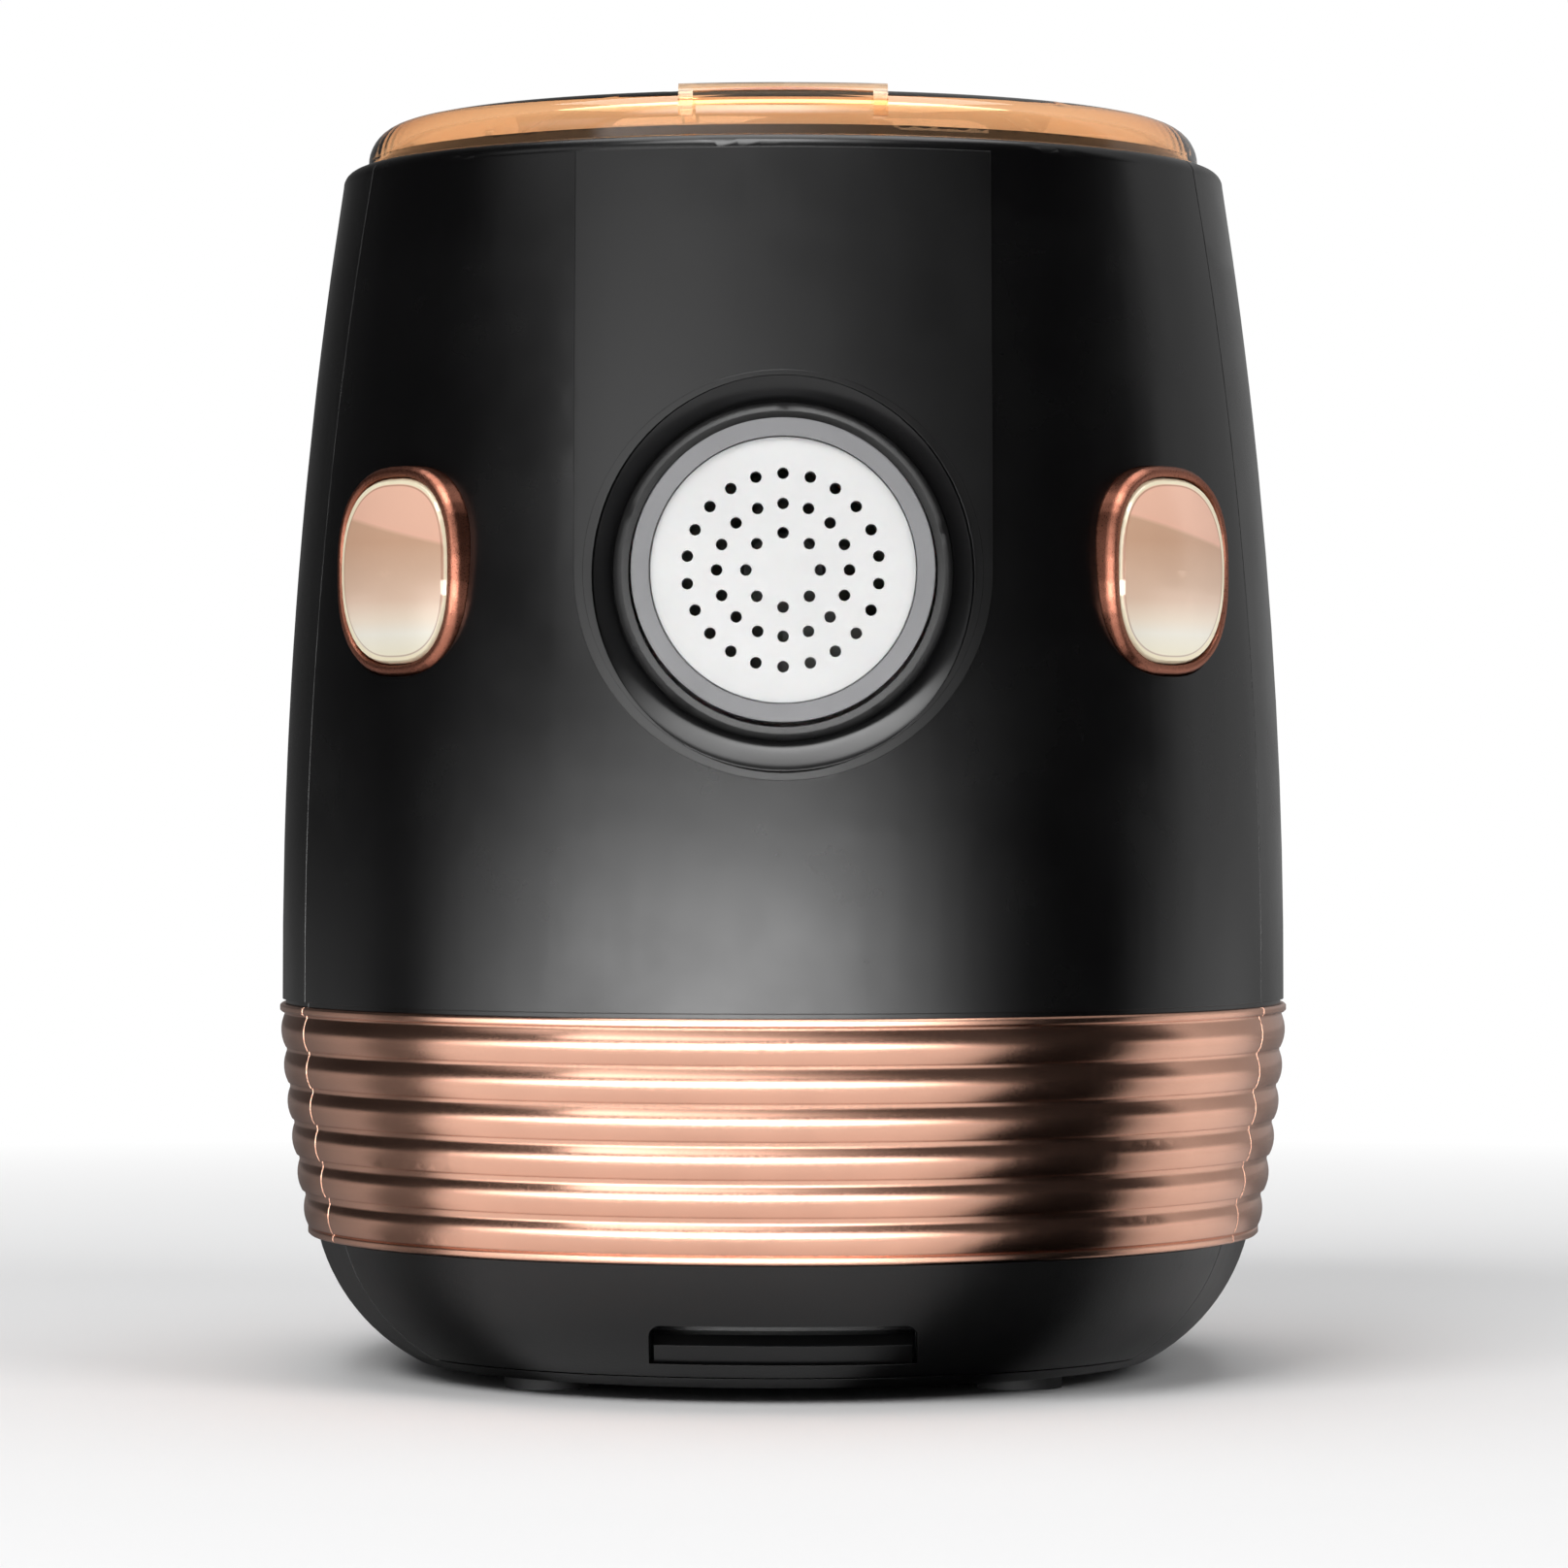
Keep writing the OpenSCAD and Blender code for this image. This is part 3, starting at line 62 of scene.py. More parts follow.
class Shader:
    """A Principled material whose texture coordinates are the object's own, in millimetres."""

    def __init__(self, name, colour, rough, metal=0.0, **sockets):
        self.mat = bpy.data.materials.new(name)
        self.mat.use_nodes = True
        self.tree = self.mat.node_tree
        self.bsdf = self.tree.nodes["Principled BSDF"]
        self.bsdf.inputs["Base Color"].default_value = (*colour, 1)
        self.bsdf.inputs["Roughness"].default_value = rough
        self.bsdf.inputs["Metallic"].default_value = metal
        for socket, value in sockets.items():
            self.bsdf.inputs[socket.replace("_", " ")].default_value = value
        self.mat.diffuse_color = (*colour, 1)
        self.colour, self.rough = colour, rough
        place = self.add("ShaderNodeTexCoord").outputs["Object"]
        self.mm = self.add("ShaderNodeMapping", Scale=(1000, 1000, 1000), Vector=place).outputs[0]
        self.bumps = None

    def add(self, kind, **inputs):
        """A node, with its inputs set to values or linked to outputs."""
        made = self.tree.nodes.new(kind)
        for key, value in inputs.items():
            self.put(made, key.replace("_", " "), value)
        return made

    def put(self, node, key, value):
        """Sets an input of a node: its name is the key, or i and its index."""
        socket = node.inputs[int(key[1:])] if key[0] == "i" and key[1:].isdigit() else node.inputs[key]
        if isinstance(value, bpy.types.NodeSocket):
            self.tree.links.new(value, socket)
        else:
            socket.default_value = value

    def stretch(self, x, y, z):
        """Coordinates squeezed along some axes, for brushed and drawn finishes."""
        return self.add("ShaderNodeMapping", Scale=(x, y, z), Vector=self.mm).outputs[0]

    def noise(self, size, detail=3.0, rough=0.55, where=None):
        """Noise whose features are about size millimetres across."""
        made = self.add("ShaderNodeTexNoise", Vector=where or self.mm, Scale=1 / size, Detail=detail,
                        Roughness=rough)
        return made.outputs["Fac"]

    def span(self, value, low, high, to_low=0.0, to_high=1.0):
        """The value mapped from low..high to to_low..to_high, and held at the ends."""
        made = self.add("ShaderNodeMapRange", i0=value, i1=low, i2=high, i3=to_low, i4=to_high)
        return made.outputs[0]

    def math(self, operation, a, b=0.0):
        made = self.add("ShaderNodeMath", i0=a, i1=b)
        made.operation = operation
        return made.outputs[0]

    def vector(self, operation, a, b):
        made = self.add("ShaderNodeVectorMath", i0=a, i1=b)
        made.operation = operation
        return made.outputs["Value" if operation == "DOT_PRODUCT" else "Vector"]

    def blend(self, share, low, high):
        """The colour low where share is 0, and high where it is 1."""
        made = self.tree.nodes.new("ShaderNodeMix")
        made.data_type = "RGBA"
        for index, value in ((0, share), (6, low), (7, high)):
            if isinstance(value, tuple):
                value = (*value, 1)
            self.put(made, "i%d" % index, value)
        return made.outputs[2]

    def tint(self, value, low, high):
        """Base colour that runs from low times the colour to high times it over the usual range of a noise."""
        ramp = self.add("ShaderNodeValToRGB", Fac=value)
        set_stops(ramp, [(NOISE_LOW, [c * low for c in self.colour]),
                         (NOISE_HIGH, [min(1, c * high) for c in self.colour])])
        self.put(self.bsdf, "Base Color", ramp.outputs[0])
        return self

    def gloss(self, value, spread):
        """Roughness that varies by plus and minus spread."""
        self.put(self.bsdf, "Roughness",
                 self.span(value, NOISE_LOW, NOISE_HIGH, max(0.01, self.rough - spread), self.rough + spread))
        return self

    def bump(self, value, depth):
        """Adds relief of depth millimetres."""
        made = self.add("ShaderNodeBump", Height=value, Distance=depth * MM, Strength=1.0)
        if self.bumps is not None:
            self.put(made, "Normal", self.bumps)
        self.bumps = made.outputs[0]
        self.put(self.bsdf, "Normal", self.bumps)
        return self

    def soft_edges(self, radius):
        """Shades crisp edges as rounded ones of radius millimetres. It comes before any bump."""
        made = self.add("ShaderNodeBevel", Radius=radius * MM)
        made.samples = 4
        self.bumps = made.outputs[0]
        self.put(self.bsdf, "Normal", self.bumps)
        return self


def worn(shader, amount):
    """Edges that hands have polished a little: pointed places get glossier."""
    flat, sharp = 0.5, 0.6
    point = shader.add("ShaderNodeNewGeometry").outputs["Pointiness"]
    edge = shader.span(point, flat, sharp, 0.0, amount)
    now = shader.bsdf.inputs["Roughness"].links[0].from_socket
    shader.put(shader.bsdf, "Roughness", shader.math("SUBTRACT", now, edge))
    return shader


def moulded(name, colour, rough, grain, depth, radius=0.25, **sockets):
    """Moulded plastic with a fine spark-eroded grain and slow variation in gloss."""
    made = Shader(name, colour, rough, **sockets).soft_edges(radius)
    made.tint(made.noise(60, 4), 0.86, 1.12)
    made.gloss(made.noise(25, 5), 0.035)
    made.bump(made.noise(grain, 2, 0.7), depth)
    return worn(made, 0.05)


def metal(name, colour, rough, brushed=None, radius=0.15):
    """Metal with fine scratches; brushed is the axis along which they run, or None for all ways."""
    made = Shader(name, colour, rough, 1.0).soft_edges(radius)
    where = [0.03 if axis == brushed else 1 for axis in "xyz"]
    hair = made.noise(0.35, 3, 0.7, made.stretch(*where))
    made.tint(made.noise(30, 3), 0.93, 1.05)
    made.gloss(hair, 0.06)
    made.bump(hair, 0.006)
    return made


# moulded: name, colour, roughness, size and depth of the grain. metal: name, colour, roughness.
finish = {
    "shell": moulded("satin_black_shell", (0.0018, 0.0017, 0.0019), 0.26, 0.35, 0.004),
    "bib": moulded("matte_black_panel", (0.0030, 0.0029, 0.0031), 0.36, 0.35, 0.006),
    "lip": moulded("satin_black_lip", (0.006, 0.006, 0.0062), 0.22, 0.35, 0.004),
    "base": moulded("textured_black_base", (0.0035, 0.0035, 0.0038), 0.38, 0.55, 0.03),
    "deck": moulded("matte_black_deck", (0.012, 0.012, 0.013), 0.5, 0.5, 0.02),
    "key": moulded("matte_black_keys", (0.022, 0.022, 0.024), 0.45, 0.3, 0.01),
    "bowl": moulded("pale_bowl_plastic", (0.72, 0.70, 0.66), 0.3, 1.0, 0.006, Subsurface_Weight=0.06,
                    Subsurface_Scale=0.004),
    "nylon": moulded("natural_nylon", (0.80, 0.78, 0.70), 0.42, 0.5, 0.01, Subsurface_Weight=0.12,
                     Subsurface_Scale=0.004),
    "grey": moulded("grey_glass_filled_plastic", (0.20, 0.205, 0.215), 0.5, 0.4, 0.02),
    "drawer": moulded("grey_drawer_plastic", (0.23, 0.235, 0.245), 0.45, 0.5, 0.012),
    "rubber": moulded("soft_rubber", (0.018, 0.018, 0.019), 0.68, 0.5, 0.02),
    "rose": metal("rose_gold_band", (0.88, 0.49, 0.355), 0.19, radius=0.6),
    "bezel": metal("rose_gold_bezel", (0.44, 0.17, 0.11), 0.30, radius=1.5),
    "ring": moulded("satin_grey_ring", (0.165, 0.165, 0.17), 0.40, 0.4, 0.006, radius=0.4, Metallic=0.3),
    "steel": metal("turned_steel", (0.60, 0.60, 0.61), 0.24),
    "can": metal("plated_motor_can", (0.50, 0.50, 0.50), 0.3, "y"),
    "zinc": metal("die_cast_zinc", (0.47, 0.48, 0.49), 0.42),
}

CAP_HALF_W, CAP_HALF_H, CAP_POWER = 17.5, 19.25, 2.6   # a button cap's outline: a superellipse, in millimetres
CAP_ANGLE = math.radians(48.5)                         # a button's direction from straight ahead
CAP_PAINTED_REFLECTION_FADE = [(-18, (1.0, 0.93, 0.72)), (-13, (1.0, 0.95, 0.83)), (-10, (0.97, 0.82, 0.66)),
            (-6, (0.86, 0.62, 0.47)), (6, (0.70, 0.43, 0.29))]    # height in millimetres, colour: a painted reflection, cream low on the cap and darker above
# colours: the painted pink reflection, a dark line, and the painted cream highlight on the edge
CAP_PAINTED_REFLECTION_PINK, CAP_LINE, CAP_PAINTED_HIGHLIGHT_CREAM = (0.97, 0.58, 0.43), (0.36, 0.15, 0.09), (1.0, 0.90, 0.66)
CAP_SLOPE, CAP_PAINTED_PINK_FROM = 0.2, (7.9, 8.9)             # the slanting edge of the painted pink reflection: its slope, and its height in millimetres
CAP_LINE_FAR, CAP_LINE_SHARE = ((0.775, 0.795), (0.81, 0.83)), 0.55    # the dark line inside the painted cream highlight on the edge
CAP_PAINTED_HIGHLIGHT_FAR = (0.82, 0.84)                           # where the painted cream highlight on the edge starts and is full; FAR is 0 in the middle of the cap and 1 on its outline


def cap_lacquer_with_painted_light(node, side):
    """Pearly peach lacquer of a button cap with painted light: a painted reflection that is cream low down, darker
    above and pink above a slanting line, and a painted cream highlight on the edge all round.
    """
    along = Vector((math.cos(CAP_ANGLE), side * math.sin(CAP_ANGLE), 0))
    middle = sum((Vector(corner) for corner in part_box(node)), Vector()) / (2 * MM)
    made = Shader("peach_cap_painted_light_" + ("left" if side < 0 else "right"), (0.95, 0.62, 0.47), 0.16, 0.08,
                  Coat_Weight=0.5, Coat_Roughness=0.05).soft_edges(0.3)
    local = made.vector("SUBTRACT", made.mm, tuple(middle))
    across = made.vector("DOT_PRODUCT", local, tuple(along))
    up = made.vector("DOT_PRODUCT", local, (0, 0, 1))

    def share(value, half):
        """How far out a place is along one axis of the cap: 0 in its middle and 1 on its outline."""
        return made.math("POWER", made.math("ABSOLUTE", made.math("DIVIDE", value, half)), CAP_POWER)

    far = made.math("ADD", share(across, CAP_HALF_W), share(up, CAP_HALF_H))
    # painted reflection: cream low on the cap and darker above, and pink above a slanting line
    low, high = CAP_PAINTED_REFLECTION_FADE[0][0], CAP_PAINTED_REFLECTION_FADE[-1][0]
    painted_reflection_fade = made.add("ShaderNodeValToRGB", Fac=made.span(up, low, high))
    set_stops(painted_reflection_fade, [((height - low) / (high - low), colour) for height, colour in CAP_PAINTED_REFLECTION_FADE])
    slant = made.math("ADD", up, made.math("MULTIPLY", across, CAP_SLOPE))
    body = made.blend(made.span(slant, *CAP_PAINTED_PINK_FROM), painted_reflection_fade.outputs[0], CAP_PAINTED_REFLECTION_PINK)
    (line_in, line_full), (line_ends, line_out) = CAP_LINE_FAR
    line = made.math("MULTIPLY", made.span(far, line_in, line_full), made.span(far, line_ends, line_out, 1.0, 0.0))
    body = made.blend(made.math("MULTIPLY", line, CAP_LINE_SHARE), body, CAP_LINE)
    # painted highlight: cream on the edge of the cap all round
    made.put(made.bsdf, "Base Color", made.blend(made.span(far, *CAP_PAINTED_HIGHLIGHT_FAR), body, CAP_PAINTED_HIGHLIGHT_CREAM))
    made.gloss(made.noise(9, 3), 0.02)
    return made.bump(made.noise(0.4, 2, 0.6), 0.002)


def die_plastic():
    """Near-white acetal with faint specks and slow variation in gloss."""
    made = Shader("pale_die_acetal", (0.69, 0.69, 0.685), 0.38, Subsurface_Weight=0.08,
                  Subsurface_Scale=0.002).soft_edges(0.12)
    made.tint(made.noise(18, 4), 0.97, 1.03)
    made.gloss(made.noise(4, 4), 0.05)
    return made.bump(made.noise(0.3, 2, 0.6), 0.008)


def amber():
    """Clear amber plastic: the colour is in its depth, so thick edges go dark brown."""
    made = Shader("amber_clear_plastic", (1.0, 0.93, 0.85), 0.03, IOR=1.5, Transmission_Weight=1.0)
    made.gloss(made.noise(20, 3), 0.015)
    depth = made.tree.nodes.new("ShaderNodeVolumeAbsorption")
    depth.inputs["Color"].default_value = (0.945, 0.565, 0.13, 1)
    depth.inputs["Density"].default_value = 210.0
    made.tree.links.new(depth.outputs[0], made.tree.nodes["Material Output"].inputs["Volume"])
    return made


def circuit():
    """Solder-masked board whose traces show under the mask as paler lines."""
    made = Shader("green_circuit_board", (0.015, 0.11, 0.05), 0.35).soft_edges(0.1)
    lines = made.add("ShaderNodeTexBrick", Vector=made.mm, Scale=0.18, Mortar_Size=0.03,
                     Color1=(0.012, 0.10, 0.045, 1), Color2=(0.016, 0.12, 0.055, 1),
                     Mortar=(0.05, 0.24, 0.11, 1))
    made.put(made.bsdf, "Base Color", lines.outputs["Color"])
    made.gloss(made.noise(8, 3), 0.05)
    return made.bump(lines.outputs["Fac"], 0.02)


finish["die"] = die_plastic()
finish["amber"] = amber()
finish["board"] = circuit()
finish["left_cap"] = cap_lacquer_with_painted_light("left_release_button", -1)
finish["right_cap"] = cap_lacquer_with_painted_light("right_release_button", 1)

# The nodes of the CAD model that wear each finish
worn_by = {
    "shell": ["front_shell", "rear_shell"],
    "base": ["base_shell", "base_plate", "drawer_front", "drawer_pull"],
    "deck": ["top_deck", "lid_hinge_leaf"],
    "key": ["power_key", "program_key", "start_key"],
    "bowl": ["mixing_bowl"],
    "nylon": ["auger", "mixing_paddles", "idler_gear_a", "idler_gear_b", "cooling_fan"],
    "grey": ["chassis_tray", "motor_end_bell", "motor_cradle"],
    "drawer": ["drawer_tray"],
    "rubber": ["feet", "cord_gland", "shaft_seal", "die_seal", "lid_seal", "lid_switch"],
    "rose": ["front_band", "rear_band"],
    "bezel": ["left_button_bezel", "right_button_bezel"],
    "left_cap": ["left_release_button"],
    "right_cap": ["right_release_button"],
    "ring": ["retaining_ring"],
    "steel": ["left_button_spring", "right_button_spring", "base_screws", "cover_catches", "output_shaft",
              "output_bearings", "gearbox_spacers", "idler_axles", "drive_pinion", "motor_shaft", "hinge_pin"],
    "can": ["motor_can"],
    "zinc": ["output_gear", "gearbox_front_plate", "gearbox_rear_plate"],
    "die": ["die_disc"],
    "amber": ["lid", "lid_grip"],
    "board": ["circuit_board", "control_board"],
}
for name, members in worn_by.items():
    for member in members:
        nodes[member].data.materials.clear()
        nodes[member].data.materials.append(finish[name].mat)


def second_finish(node, name, chosen):
    """Gives another finish to the faces of a CAD node that chosen picks, by centre in millimetres and normal."""
    mesh = nodes[node].data
    mesh.materials.append(finish[name].mat)
    for face in mesh.polygons:
        if chosen(face.center / MM, face.normal):
            face.material_index = len(mesh.materials) - 1


NOZZLE_Z = 170.5                                  # height of the nozzle's axis, in millimetres


def panel_y(x, z):
    """The y of the raised panel's front, in millimetres: round at each height, and bowed on a large arc."""
    turn_y, front, curve, belly_z = -14.2, 109.4, 612.0, 130.0
    reach = front - curve + math.sqrt(curve ** 2 - (z - belly_z) ** 2)
    return turn_y - math.sqrt(reach ** 2 - x ** 2)


def on_panel(at, normal):
    """Whether a face of the front cover is on the front of the U-shaped raised panel."""
    half, top, slack = 42.45, 257.0, 0.6          # the panel's half width, its top and how deep a face may lie
    inside = abs(at.x) < half if at.z > NOZZLE_Z else math.hypot(at.x, at.z - NOZZLE_Z) < half
    faces_front = normal.y < -0.5
    return inside and at.z < top and faces_front and at.y < panel_y(at.x, at.z) + slack


second_finish("front_shell", "bib", on_panel)


# The lip of the dish: radius, and depth under the panel's edge, in millimetres
LIP = [(40.65, -0.02), (40.3, 0.03), (39.9, 0.15), (39.45, 0.33), (39.0, 0.53), (38.5, 0.755), (38.0, 0.985),
       (37.5, 1.22), (37.0, 1.46), (36.5, 1.71), (36.1, 1.93), (35.7, 2.19), (35.3, 2.52), (35.0, 2.86),
       (34.8, 3.2), (34.65, 3.65), (34.6, 4.3)]


def rolled_lip():
    """The soft rolled lip of the dish round the nozzle: from the panel's front it rolls in and runs to the floor."""
    outer, inner = LIP[0][0], LIP[-1][0]
    foot, floor_y, around = (41.0, 0.80), -107.6, 120     # the foot is sunk in the panel, and closes the piece
    rings = [(radius, depth, None) for radius, depth in [foot] + LIP]      # radius, depth, or else a fixed y
    rings += [(inner, None, floor_y), (outer, None, floor_y)]
    points = []
    for radius, depth, fixed_y in rings:
        for index in range(around):
            turn = 2 * math.pi * index / around
            x, z = radius * math.cos(turn), NOZZLE_Z + radius * math.sin(turn)
            edge = panel_y(outer * math.cos(turn), NOZZLE_Z + outer * math.sin(turn))
            points.append((x * MM, (edge + depth if fixed_y is None else fixed_y) * MM, z * MM))
    faces, smooth = [], []
    for ring in range(len(rings)):
        after = (ring + 1) % len(rings)
        for index in range(around):
            beside = (index + 1) % around
            faces.append((ring * around + index, ring * around + beside, after * around + beside,
                          after * around + index))
            smooth.append(0 < ring < len(LIP))    # only the roll: the foot, the inner wall and the back stay flat
    mesh = bpy.data.meshes.new("nozzle_lip")
    mesh.from_pydata(points, [], faces)
    mesh.polygons.foreach_set("use_smooth", smooth)
    mesh.materials.append(finish["lip"].mat)
    lip = bpy.data.objects.new("nozzle_lip", mesh)
    scene.collection.objects.link(lip)
    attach(lip, "front_cover")


rolled_lip()


# ---------------------------------------------------------------- floor, light and camera

def azimuth_ramp(tree, x, y, stops):
    """A grey that depends on the direction round the object: stops are (degrees to the right of the front, grey)."""
    back = tree.nodes.new("ShaderNodeMath")
    back.operation = "MULTIPLY"
    back.inputs[1].default_value = -1.0
    tree.links.new(y, back.inputs[0])
    turn = tree.nodes.new("ShaderNodeMath")
    turn.operation = "ARCTAN2"
    tree.links.new(x, turn.inputs[0])
    tree.links.new(back.outputs[0], turn.inputs[1])
    share = tree.nodes.new("ShaderNodeMapRange")
    share.inputs[1].default_value, share.inputs[2].default_value = -math.pi, math.pi
    tree.links.new(turn.outputs[0], share.inputs[0])
    ramp = tree.nodes.new("ShaderNodeValToRGB")
    set_stops(ramp, [((degrees + 180) / 360, (grey, grey, grey)) for degrees, grey in stops])
    tree.links.new(share.outputs[0], ramp.inputs[0])
    return ramp.outputs[0]


# What reflections see of the room and of the floor: degrees to the right of the front, grey
ROOM = [(-180, 0.22), (-160, 0.08), (-140, 0.04), (-124, 0.02), (-84, 0.02), (-66, 0.08), (-45, 0.09), (0, 0.08),
        (52, 0.05), (60, 0.01), (80, 0.01), (92, 0.03), (99, 0.10), (104, 0.55), (120, 0.40), (138, 0.35),
        (180, 0.35)]
FLOOR = [(-180, 0.22), (-145, 0.14), (-125, 0.30), (-110, 0.42), (-102, 0.15), (-89, 0.12), (-84, 0.8),
         (-78, 1.0), (-58, 1.0), (-8, 0.95), (16, 1.0), (36, 1.0), (48, 0.75), (55, 0.0), (82, 0.0), (86, 0.4),
         (94, 0.85), (104, 1.0), (122, 0.85), (136, 0.25), (180, 0.25)]
FLOOR_APEX = (-12.0, -73.0)                       # the place that FLOOR's directions start from, in millimetres
FLOOR_PALE = 0.80
FLOOR_FADE = (300.0, 900.0)                       # where it starts to go white and where it is white, in millimetres


def stage_floor():
    """A pale seamless floor. Its distance goes white, and in reflections it darkens where the room is dark."""
    half, segments = 6.0, 64
    ring = [(half * math.cos(a), half * math.sin(a), 0)
            for a in (2 * math.pi * i / segments for i in range(segments))]
    mesh = bpy.data.meshes.new("floor")
    mesh.from_pydata(ring, [], [list(range(segments))])
    floor = bpy.data.objects.new("floor", mesh)
    scene.collection.objects.link(floor)
    made = Shader("pale_floor", (FLOOR_PALE,) * 3, 0.55, Specular_IOR_Level=0.0)
    tree = made.tree
    at = made.add("ShaderNodeSeparateXYZ", Vector=made.mm)
    shade = azimuth_ramp(tree, made.math("SUBTRACT", at.outputs[0], FLOOR_APEX[0]),
                         made.math("SUBTRACT", at.outputs[1], FLOOR_APEX[1]), FLOOR)
    ray = tree.nodes.new("ShaderNodeLightPath").outputs
    colour = made.blend(ray["Is Glossy Ray"], (1.0, 1.0, 1.0), shade)
    made.put(made.bsdf, "Base Color", made.vector("MULTIPLY", colour, (FLOOR_PALE,) * 3))
    glow = made.add("ShaderNodeEmission", Color=colour, Strength=1.0)
    seen = made.math("MAXIMUM", made.math("MAXIMUM", ray["Is Camera Ray"], ray["Is Glossy Ray"]),
                     ray["Is Transmission Ray"])
    distance = made.math("SQRT", made.vector("DOT_PRODUCT", made.mm, made.mm))
    mix = made.add("ShaderNodeMixShader", i0=made.math("MULTIPLY", seen, made.span(distance, *FLOOR_FADE)),
                   i1=made.bsdf.outputs[0], i2=glow.outputs[0])
    made.put(tree.nodes["Material Output"], "Surface", mix.outputs[0])
    mesh.materials.append(made.mat)


def softbox(name, place, aim, size, watts, glossy=True):
    """A rectangular area lamp at place, facing aim; it can be kept out of reflections."""
    lamp = bpy.data.lights.new(name, "AREA")
    lamp.shape = "RECTANGLE"
    lamp.size, lamp.size_y = size
    lamp.energy = watts
    box = bpy.data.objects.new(name, lamp)
    scene.collection.objects.link(box)
    box.location = place
    box.rotation_euler = (Vector(aim) - Vector(place)).to_track_quat("-Z", "Y").to_euler()
    box.visible_camera = False
    box.visible_glossy = glossy


def reflector(name, strength, stops, levels, radius=1.1):
    """A curved card round the object that only reflections see.

    stops are (degrees to the right of the front, share) and levels are (height in metres, share).
    """
    first, last, steps = stops[0][0], stops[-1][0], 48     # steps are the card's facets
    turns = [math.radians(first + (last - first) * i / steps) for i in range(steps + 1)]
    low, high = levels[0][0], levels[-1][0]
    corners = [(radius * math.sin(a), -radius * math.cos(a), z) for z in (low, high) for a in turns]
    faces = [(i, i + 1, i + steps + 2, i + steps + 1) for i in range(steps)]
    mesh = bpy.data.meshes.new(name)
    mesh.from_pydata(corners, [], faces)
    card = bpy.data.objects.new(name, mesh)
    scene.collection.objects.link(card)
    made = Shader(name, (1, 1, 1), 0.5)
    at = made.add("ShaderNodeSeparateXYZ", Vector=made.mm)
    across = azimuth_ramp(made.tree, at.outputs[0], at.outputs[1], stops)
    up = made.add("ShaderNodeValToRGB", Fac=made.span(at.outputs[2], low / MM, high / MM))
    set_stops(up, [((height - low) / (high - low), (share, share, share)) for height, share in levels])
    level = made.math("MULTIPLY", across, up.outputs[0])
    glow = made.add("ShaderNodeEmission", Strength=made.math("MULTIPLY", level, strength))
    clear = made.add("ShaderNodeBsdfTransparent")
    faint = 0.05                                  # below this share the card turns clear
    mix = made.add("ShaderNodeMixShader", i0=made.span(level, 0.0, faint), i1=clear.outputs[0],
                   i2=glow.outputs[0])
    made.put(made.tree.nodes["Material Output"], "Surface", mix.outputs[0])
    mesh.materials.append(made.mat)
    card.visible_camera = card.visible_diffuse = card.visible_transmission = False
    card.visible_shadow = card.visible_volume_scatter = False


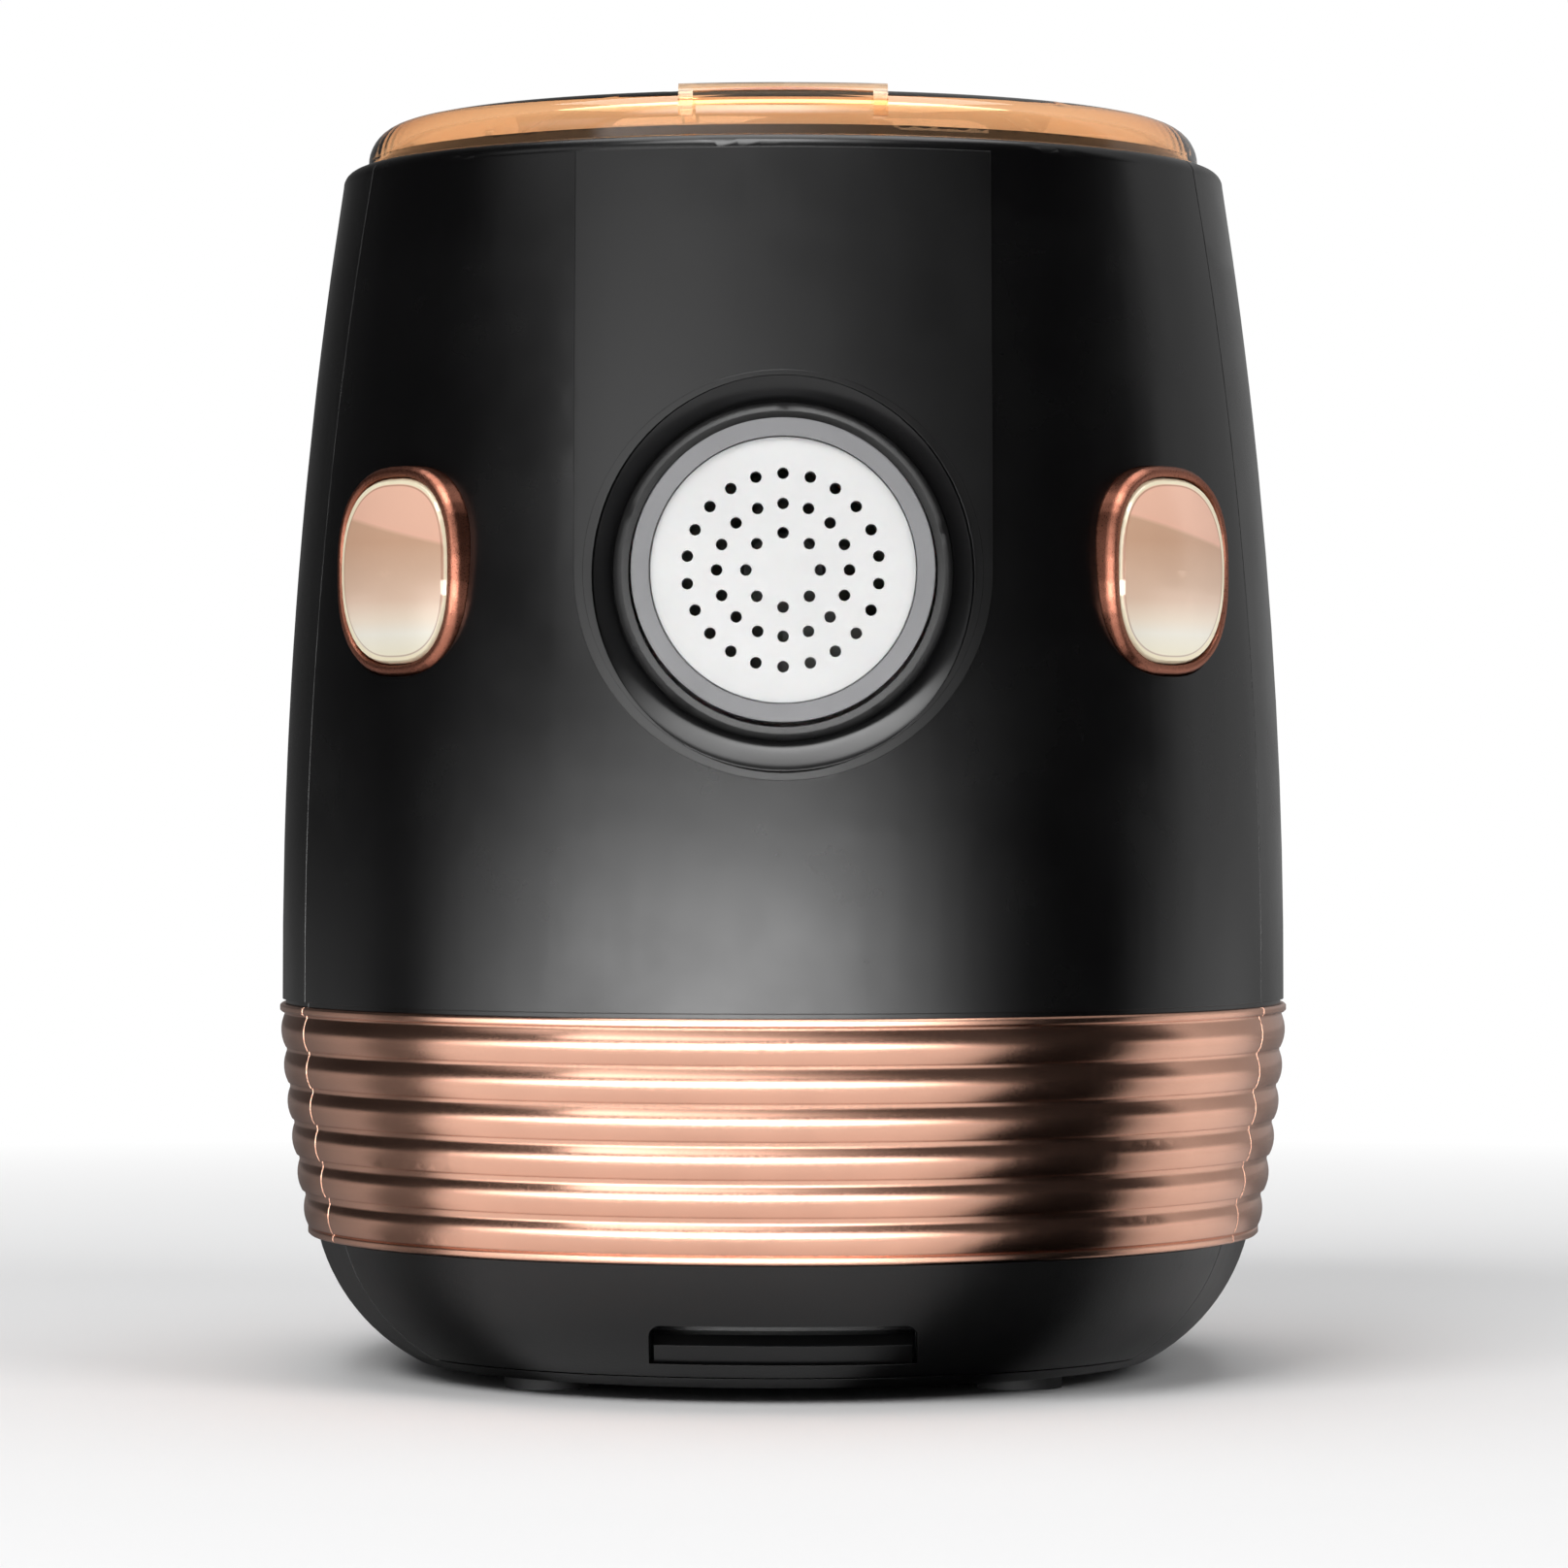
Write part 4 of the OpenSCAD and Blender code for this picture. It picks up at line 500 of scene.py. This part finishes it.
def lights():
    """Soft lamps, and the cards that draw the photograph's long soft highlights.

    low_front lights the band and the lower front, panel_front the raised panel, upper_left the left of the
    body, and high_front the lower lip of the dish.
    """
    middle = (0, 0, 0.13)
    softbox("key_softbox", (-0.9, -1.5, 1.7), middle, (1.4, 1.0), 30, glossy=False)
    softbox("fill_softbox", (1.3, -1.2, 1.2), middle, (0.8, 1.2), 12, glossy=False)
    softbox("top_softbox", (0.0, 0.2, 1.9), middle, (1.6, 1.2), 16)
    reflector("low_front", 17.0,
              [(-90, 0), (-83, 0.03), (-68, 0.16), (-55, 0.34), (-47, 0.54), (-38, 0.74), (-25, 0.88), (-13, 1.0),
               (0, 0.99), (12, 0.80), (24, 0.38), (37, 0.10), (45, 0.01), (51, 0)],
              [(0.0, 1.0), (0.03, 1.0), (0.073, 0.75), (0.10, 0.58), (0.118, 0.45), (0.138, 0.27), (0.16, 0.11),
               (0.18, 0.045), (0.20, 0.02), (0.22, 0)])
    reflector("panel_front", 3.0,
              [(-52, 0), (-48, 0.7), (-45, 1.0), (-36, 1.0), (-25, 0.84), (-13, 0.66), (0, 0.40), (12, 0.18),
               (24, 0.06), (37, 0.02), (47, 0.01), (56, 0)],
              [(0.30, 0), (0.36, 0.7), (0.42, 1.0), (0.48, 0.88), (0.55, 0.68), (0.60, 0.52), (0.70, 0.36),
               (0.78, 0.26), (0.90, 0.18), (1.0, 0)], radius=1.15)
    reflector("upper_left", 1.3, [(-84, 0), (-70, 0.7), (-56, 1.0), (-50, 0.7), (-44, 0)],
              [(0.54, 0), (0.66, 0.5), (0.76, 1.0), (1.0, 1.0), (1.1, 0)], radius=1.2)
    reflector("high_front", 9.0, [(-55, 0), (-35, 0.7), (-12, 1.0), (5, 0.9), (18, 0.4), (32, 0.1), (45, 0)],
              [(1.2, 0), (1.5, 0.7), (1.8, 1.0), (2.8, 1.0), (3.6, 0)], radius=1.25)


def room():
    """The world: a dim grey for the light it gives, ROOM in reflections, and white behind and through the object."""
    world = bpy.data.worlds.new("studio")
    scene.world = world
    world.use_nodes = True
    tree = world.node_tree
    tree.nodes.remove(tree.nodes["Background"])

    def shade(colour):
        made = tree.nodes.new("ShaderNodeBackground")
        if isinstance(colour, bpy.types.NodeSocket):
            tree.links.new(colour, made.inputs["Color"])
        else:
            made.inputs["Color"].default_value = (*colour, 1)
        return made.outputs[0]

    split = tree.nodes.new("ShaderNodeSeparateXYZ")
    tree.links.new(tree.nodes.new("ShaderNodeTexCoord").outputs["Generated"], split.inputs[0])
    ray = tree.nodes.new("ShaderNodeLightPath").outputs
    seen = tree.nodes.new("ShaderNodeMath")
    seen.operation = "MAXIMUM"
    tree.links.new(ray["Is Camera Ray"], seen.inputs[0])
    tree.links.new(ray["Is Transmission Ray"], seen.inputs[1])
    last = shade((0.25, 0.25, 0.255))
    for share, colour in ((ray["Is Glossy Ray"], azimuth_ramp(tree, split.outputs[0], split.outputs[1], ROOM)),
                          (seen.outputs[0], (1.0, 1.0, 1.0))):
        mix = tree.nodes.new("ShaderNodeMixShader")
        tree.links.new(share, mix.inputs[0])
        tree.links.new(last, mix.inputs[1])
        tree.links.new(shade(colour), mix.inputs[2])
        last = mix.outputs[0]
    tree.links.new(last, tree.nodes["World Output"].inputs["Surface"])


def camera():
    """A long lens straight in front of the object, at the height that the photograph was taken from."""
    lens = bpy.data.cameras.new("camera")
    lens.lens, lens.sensor_width = 145.0, 36.0
    lens.shift_x, lens.shift_y = 0.0006, 0.0043
    eye = bpy.data.objects.new("camera", lens)
    scene.collection.objects.link(eye)
    eye.location = (0, -1.394, 0.126)
    eye.rotation_euler = (math.pi / 2, 0, 0)
    scene.camera = eye


stage_floor()
lights()
room()
camera()
scene.view_settings.view_transform = "Standard"
